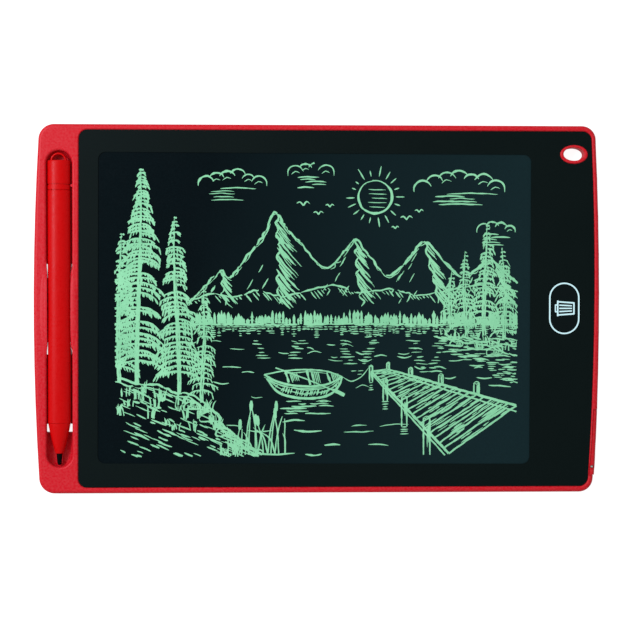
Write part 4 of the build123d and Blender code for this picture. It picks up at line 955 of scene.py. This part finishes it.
def right_bank():
    bank = [(46, -10.5), (52, -12.2), (58, -13.6), (66, -14.2), (73, -16.8), (79.4, -18.6)]
    broken(bank, 0.9, gap=0.1, shake=0.3)
    for _ in range(60):
        x = rng.uniform(48, 78)
        y = ridge(bank, x) + rng.uniform(0.4, 7.0) * (x - 44) / 35
        length = rng.uniform(1.4, 4.2)
        stroke([(x, y), (x + length, y - length * 0.2)], rng.uniform(0.35, 0.8), shake=0.12)
    for x, y, rx, ry in ((55, -14.0, 2.6, 1.9), (62.5, -15.0, 3.4, 2.4), (70.0, -17.4, 3.0, 2.2)):
        stone(x, y, rx, ry)
    for i in range(12):
        grass(50 + i * 2.5, ridge(bank, 50 + i * 2.4) + rng.uniform(0.0, 3.0), 3.2, 4, 0.5)
    pine(52.5, -8.0, 15.5, 5.2, w=0.50, lean=0.6)
    pine(58.8, -9.5, 23.0, 6.6, w=0.55, lean=-0.5)
    pine(66.2, -10.5, 33.5, 8.2, w=0.60, lean=0.8)
    pine(74.4, -12.0, 24.5, 7.0, w=0.55, lean=-0.6)
    # the bank's mirror in the water
    for _ in range(120):
        x = rng.uniform(47, 78.5)
        y = ridge(bank, x) - rng.uniform(1.0, 13.0)
        r = rng.uniform(0.7, 2.6)
        if free((x - r, y)) and free((x + r, y)) and y > ridge(bank, x) - 13 * (x - 40) / 38:
            stroke([(x - r, y), (x + r, y + rng.uniform(-0.15, 0.15))], rng.uniform(0.32, 0.65), shake=0.06)


mountains()
far_trees()
water()
clouds()
sun()
birds()
boat()
landing_stage()
right_bank()
left_bank()
pine(-71.5, -30.0, 55.5, 15.0, w=0.75, lean=1.5)
pine(-55.5, -33.0, 36.5, 11.5, w=0.68, lean=-1.0)
pine(-79.0, -29.0, 30.0, 11.0, w=0.65, lean=1.0)
pine(-45.8, -37.0, 9.0, 6.8, w=0.55, lean=0.6)

glow = Finish("screen_trace", spec=0.25)
w = glow.grain(9.0, detail=3.0)
v = glow.grain(0.45, detail=3.0, rough=0.7)
tone = glow.blend(glow.scale(w, 0.3, 0.7, 0.0, 1.0), lin(147, 220, 170), lin(130, 204, 155))
glow.colour(glow.blend(glow.scale(v, 0.5, 0.8, 0.0, 0.6), tone, lin(161, 237, 184)))
glow.gloss(glow.scale(v, 0.3, 0.7, 0.28, 0.40))
glow.relief(v, 0.0015)
art.make("screen_drawing", "root", glow)
print("drawing: strokes area %.0f mm2, %d faces" % (art.area, len(art.faces)))

# ---------------------------------------------------------------- floor, light and camera
floor_mesh = bpy.data.meshes.new("floor")
floor_mesh.from_pydata([(-6, -6, -0.0002), (6, -6, -0.0002), (6, 6, -0.0002), (-6, 6, -0.0002)], [], [(0, 1, 2, 3)])
floor = bpy.data.objects.new("floor", floor_mesh)
bpy.context.scene.collection.objects.link(floor)
pale = Finish("pale_floor", rough=0.8, spec=0.1)
w = pale.grain(60.0, detail=2.0)
pale.colour(pale.blend(w, (0.28, 0.28, 0.28, 1), (0.31, 0.31, 0.31, 1)))
pale.bsdf.inputs["Emission Color"].default_value = (1, 1, 1, 1)
pale.bsdf.inputs["Emission Strength"].default_value = 0.92
floor_mesh.materials.append(pale.mat)
floor.visible_diffuse = floor.visible_glossy = False


def softbox(name, at, towards, wide, tall, watts, colour=(1, 1, 1)):
    lamp = bpy.data.lights.new(name, "AREA")
    lamp.shape = "RECTANGLE"
    lamp.size, lamp.size_y = wide, tall
    lamp.energy = watts
    lamp.color = colour
    o = bpy.data.objects.new(name, lamp)
    o.location = at
    o.rotation_mode = "QUATERNION"
    o.rotation_quaternion = (Vector(towards) - Vector(at)).to_track_quat("-Z", "Y")
    o.visible_camera = False
    bpy.context.scene.collection.objects.link(o)
    return o


softbox("key_light", (-0.68, 0.34, 0.74), (0, 0.34, 0), 0.66, 0.24, 7.5, colour=(0.96, 1.0, 1.12))
softbox("top_light", (-0.37, 0.33, 0.74), (-0.1, 0.06, 0), 0.22, 0.22, 1.0, colour=(0.96, 1.0, 1.12))

world = bpy.data.worlds.new("studio")
world.use_nodes = True
world.node_tree.nodes["Background"].inputs["Color"].default_value = (1, 1, 1, 1)
world.node_tree.nodes["Background"].inputs["Strength"].default_value = 0.50
bpy.context.scene.world = world

camera = bpy.data.cameras.new("camera")
camera.lens = 81.409
camera.sensor_width = 36.0
camera.clip_start, camera.clip_end = 0.02, 50.0
eye = bpy.data.objects.new("camera", camera)
eye.location = (-0.018741, 0.006612, 0.570)
eye.rotation_euler = (math.radians(-0.90670698), math.radians(-1.76270513), math.radians(0.03580234))
bpy.context.scene.collection.objects.link(eye)
bpy.context.scene.camera = eye
bpy.context.scene.view_settings.view_transform = "Standard"
bpy.context.scene.view_settings.look = "None"
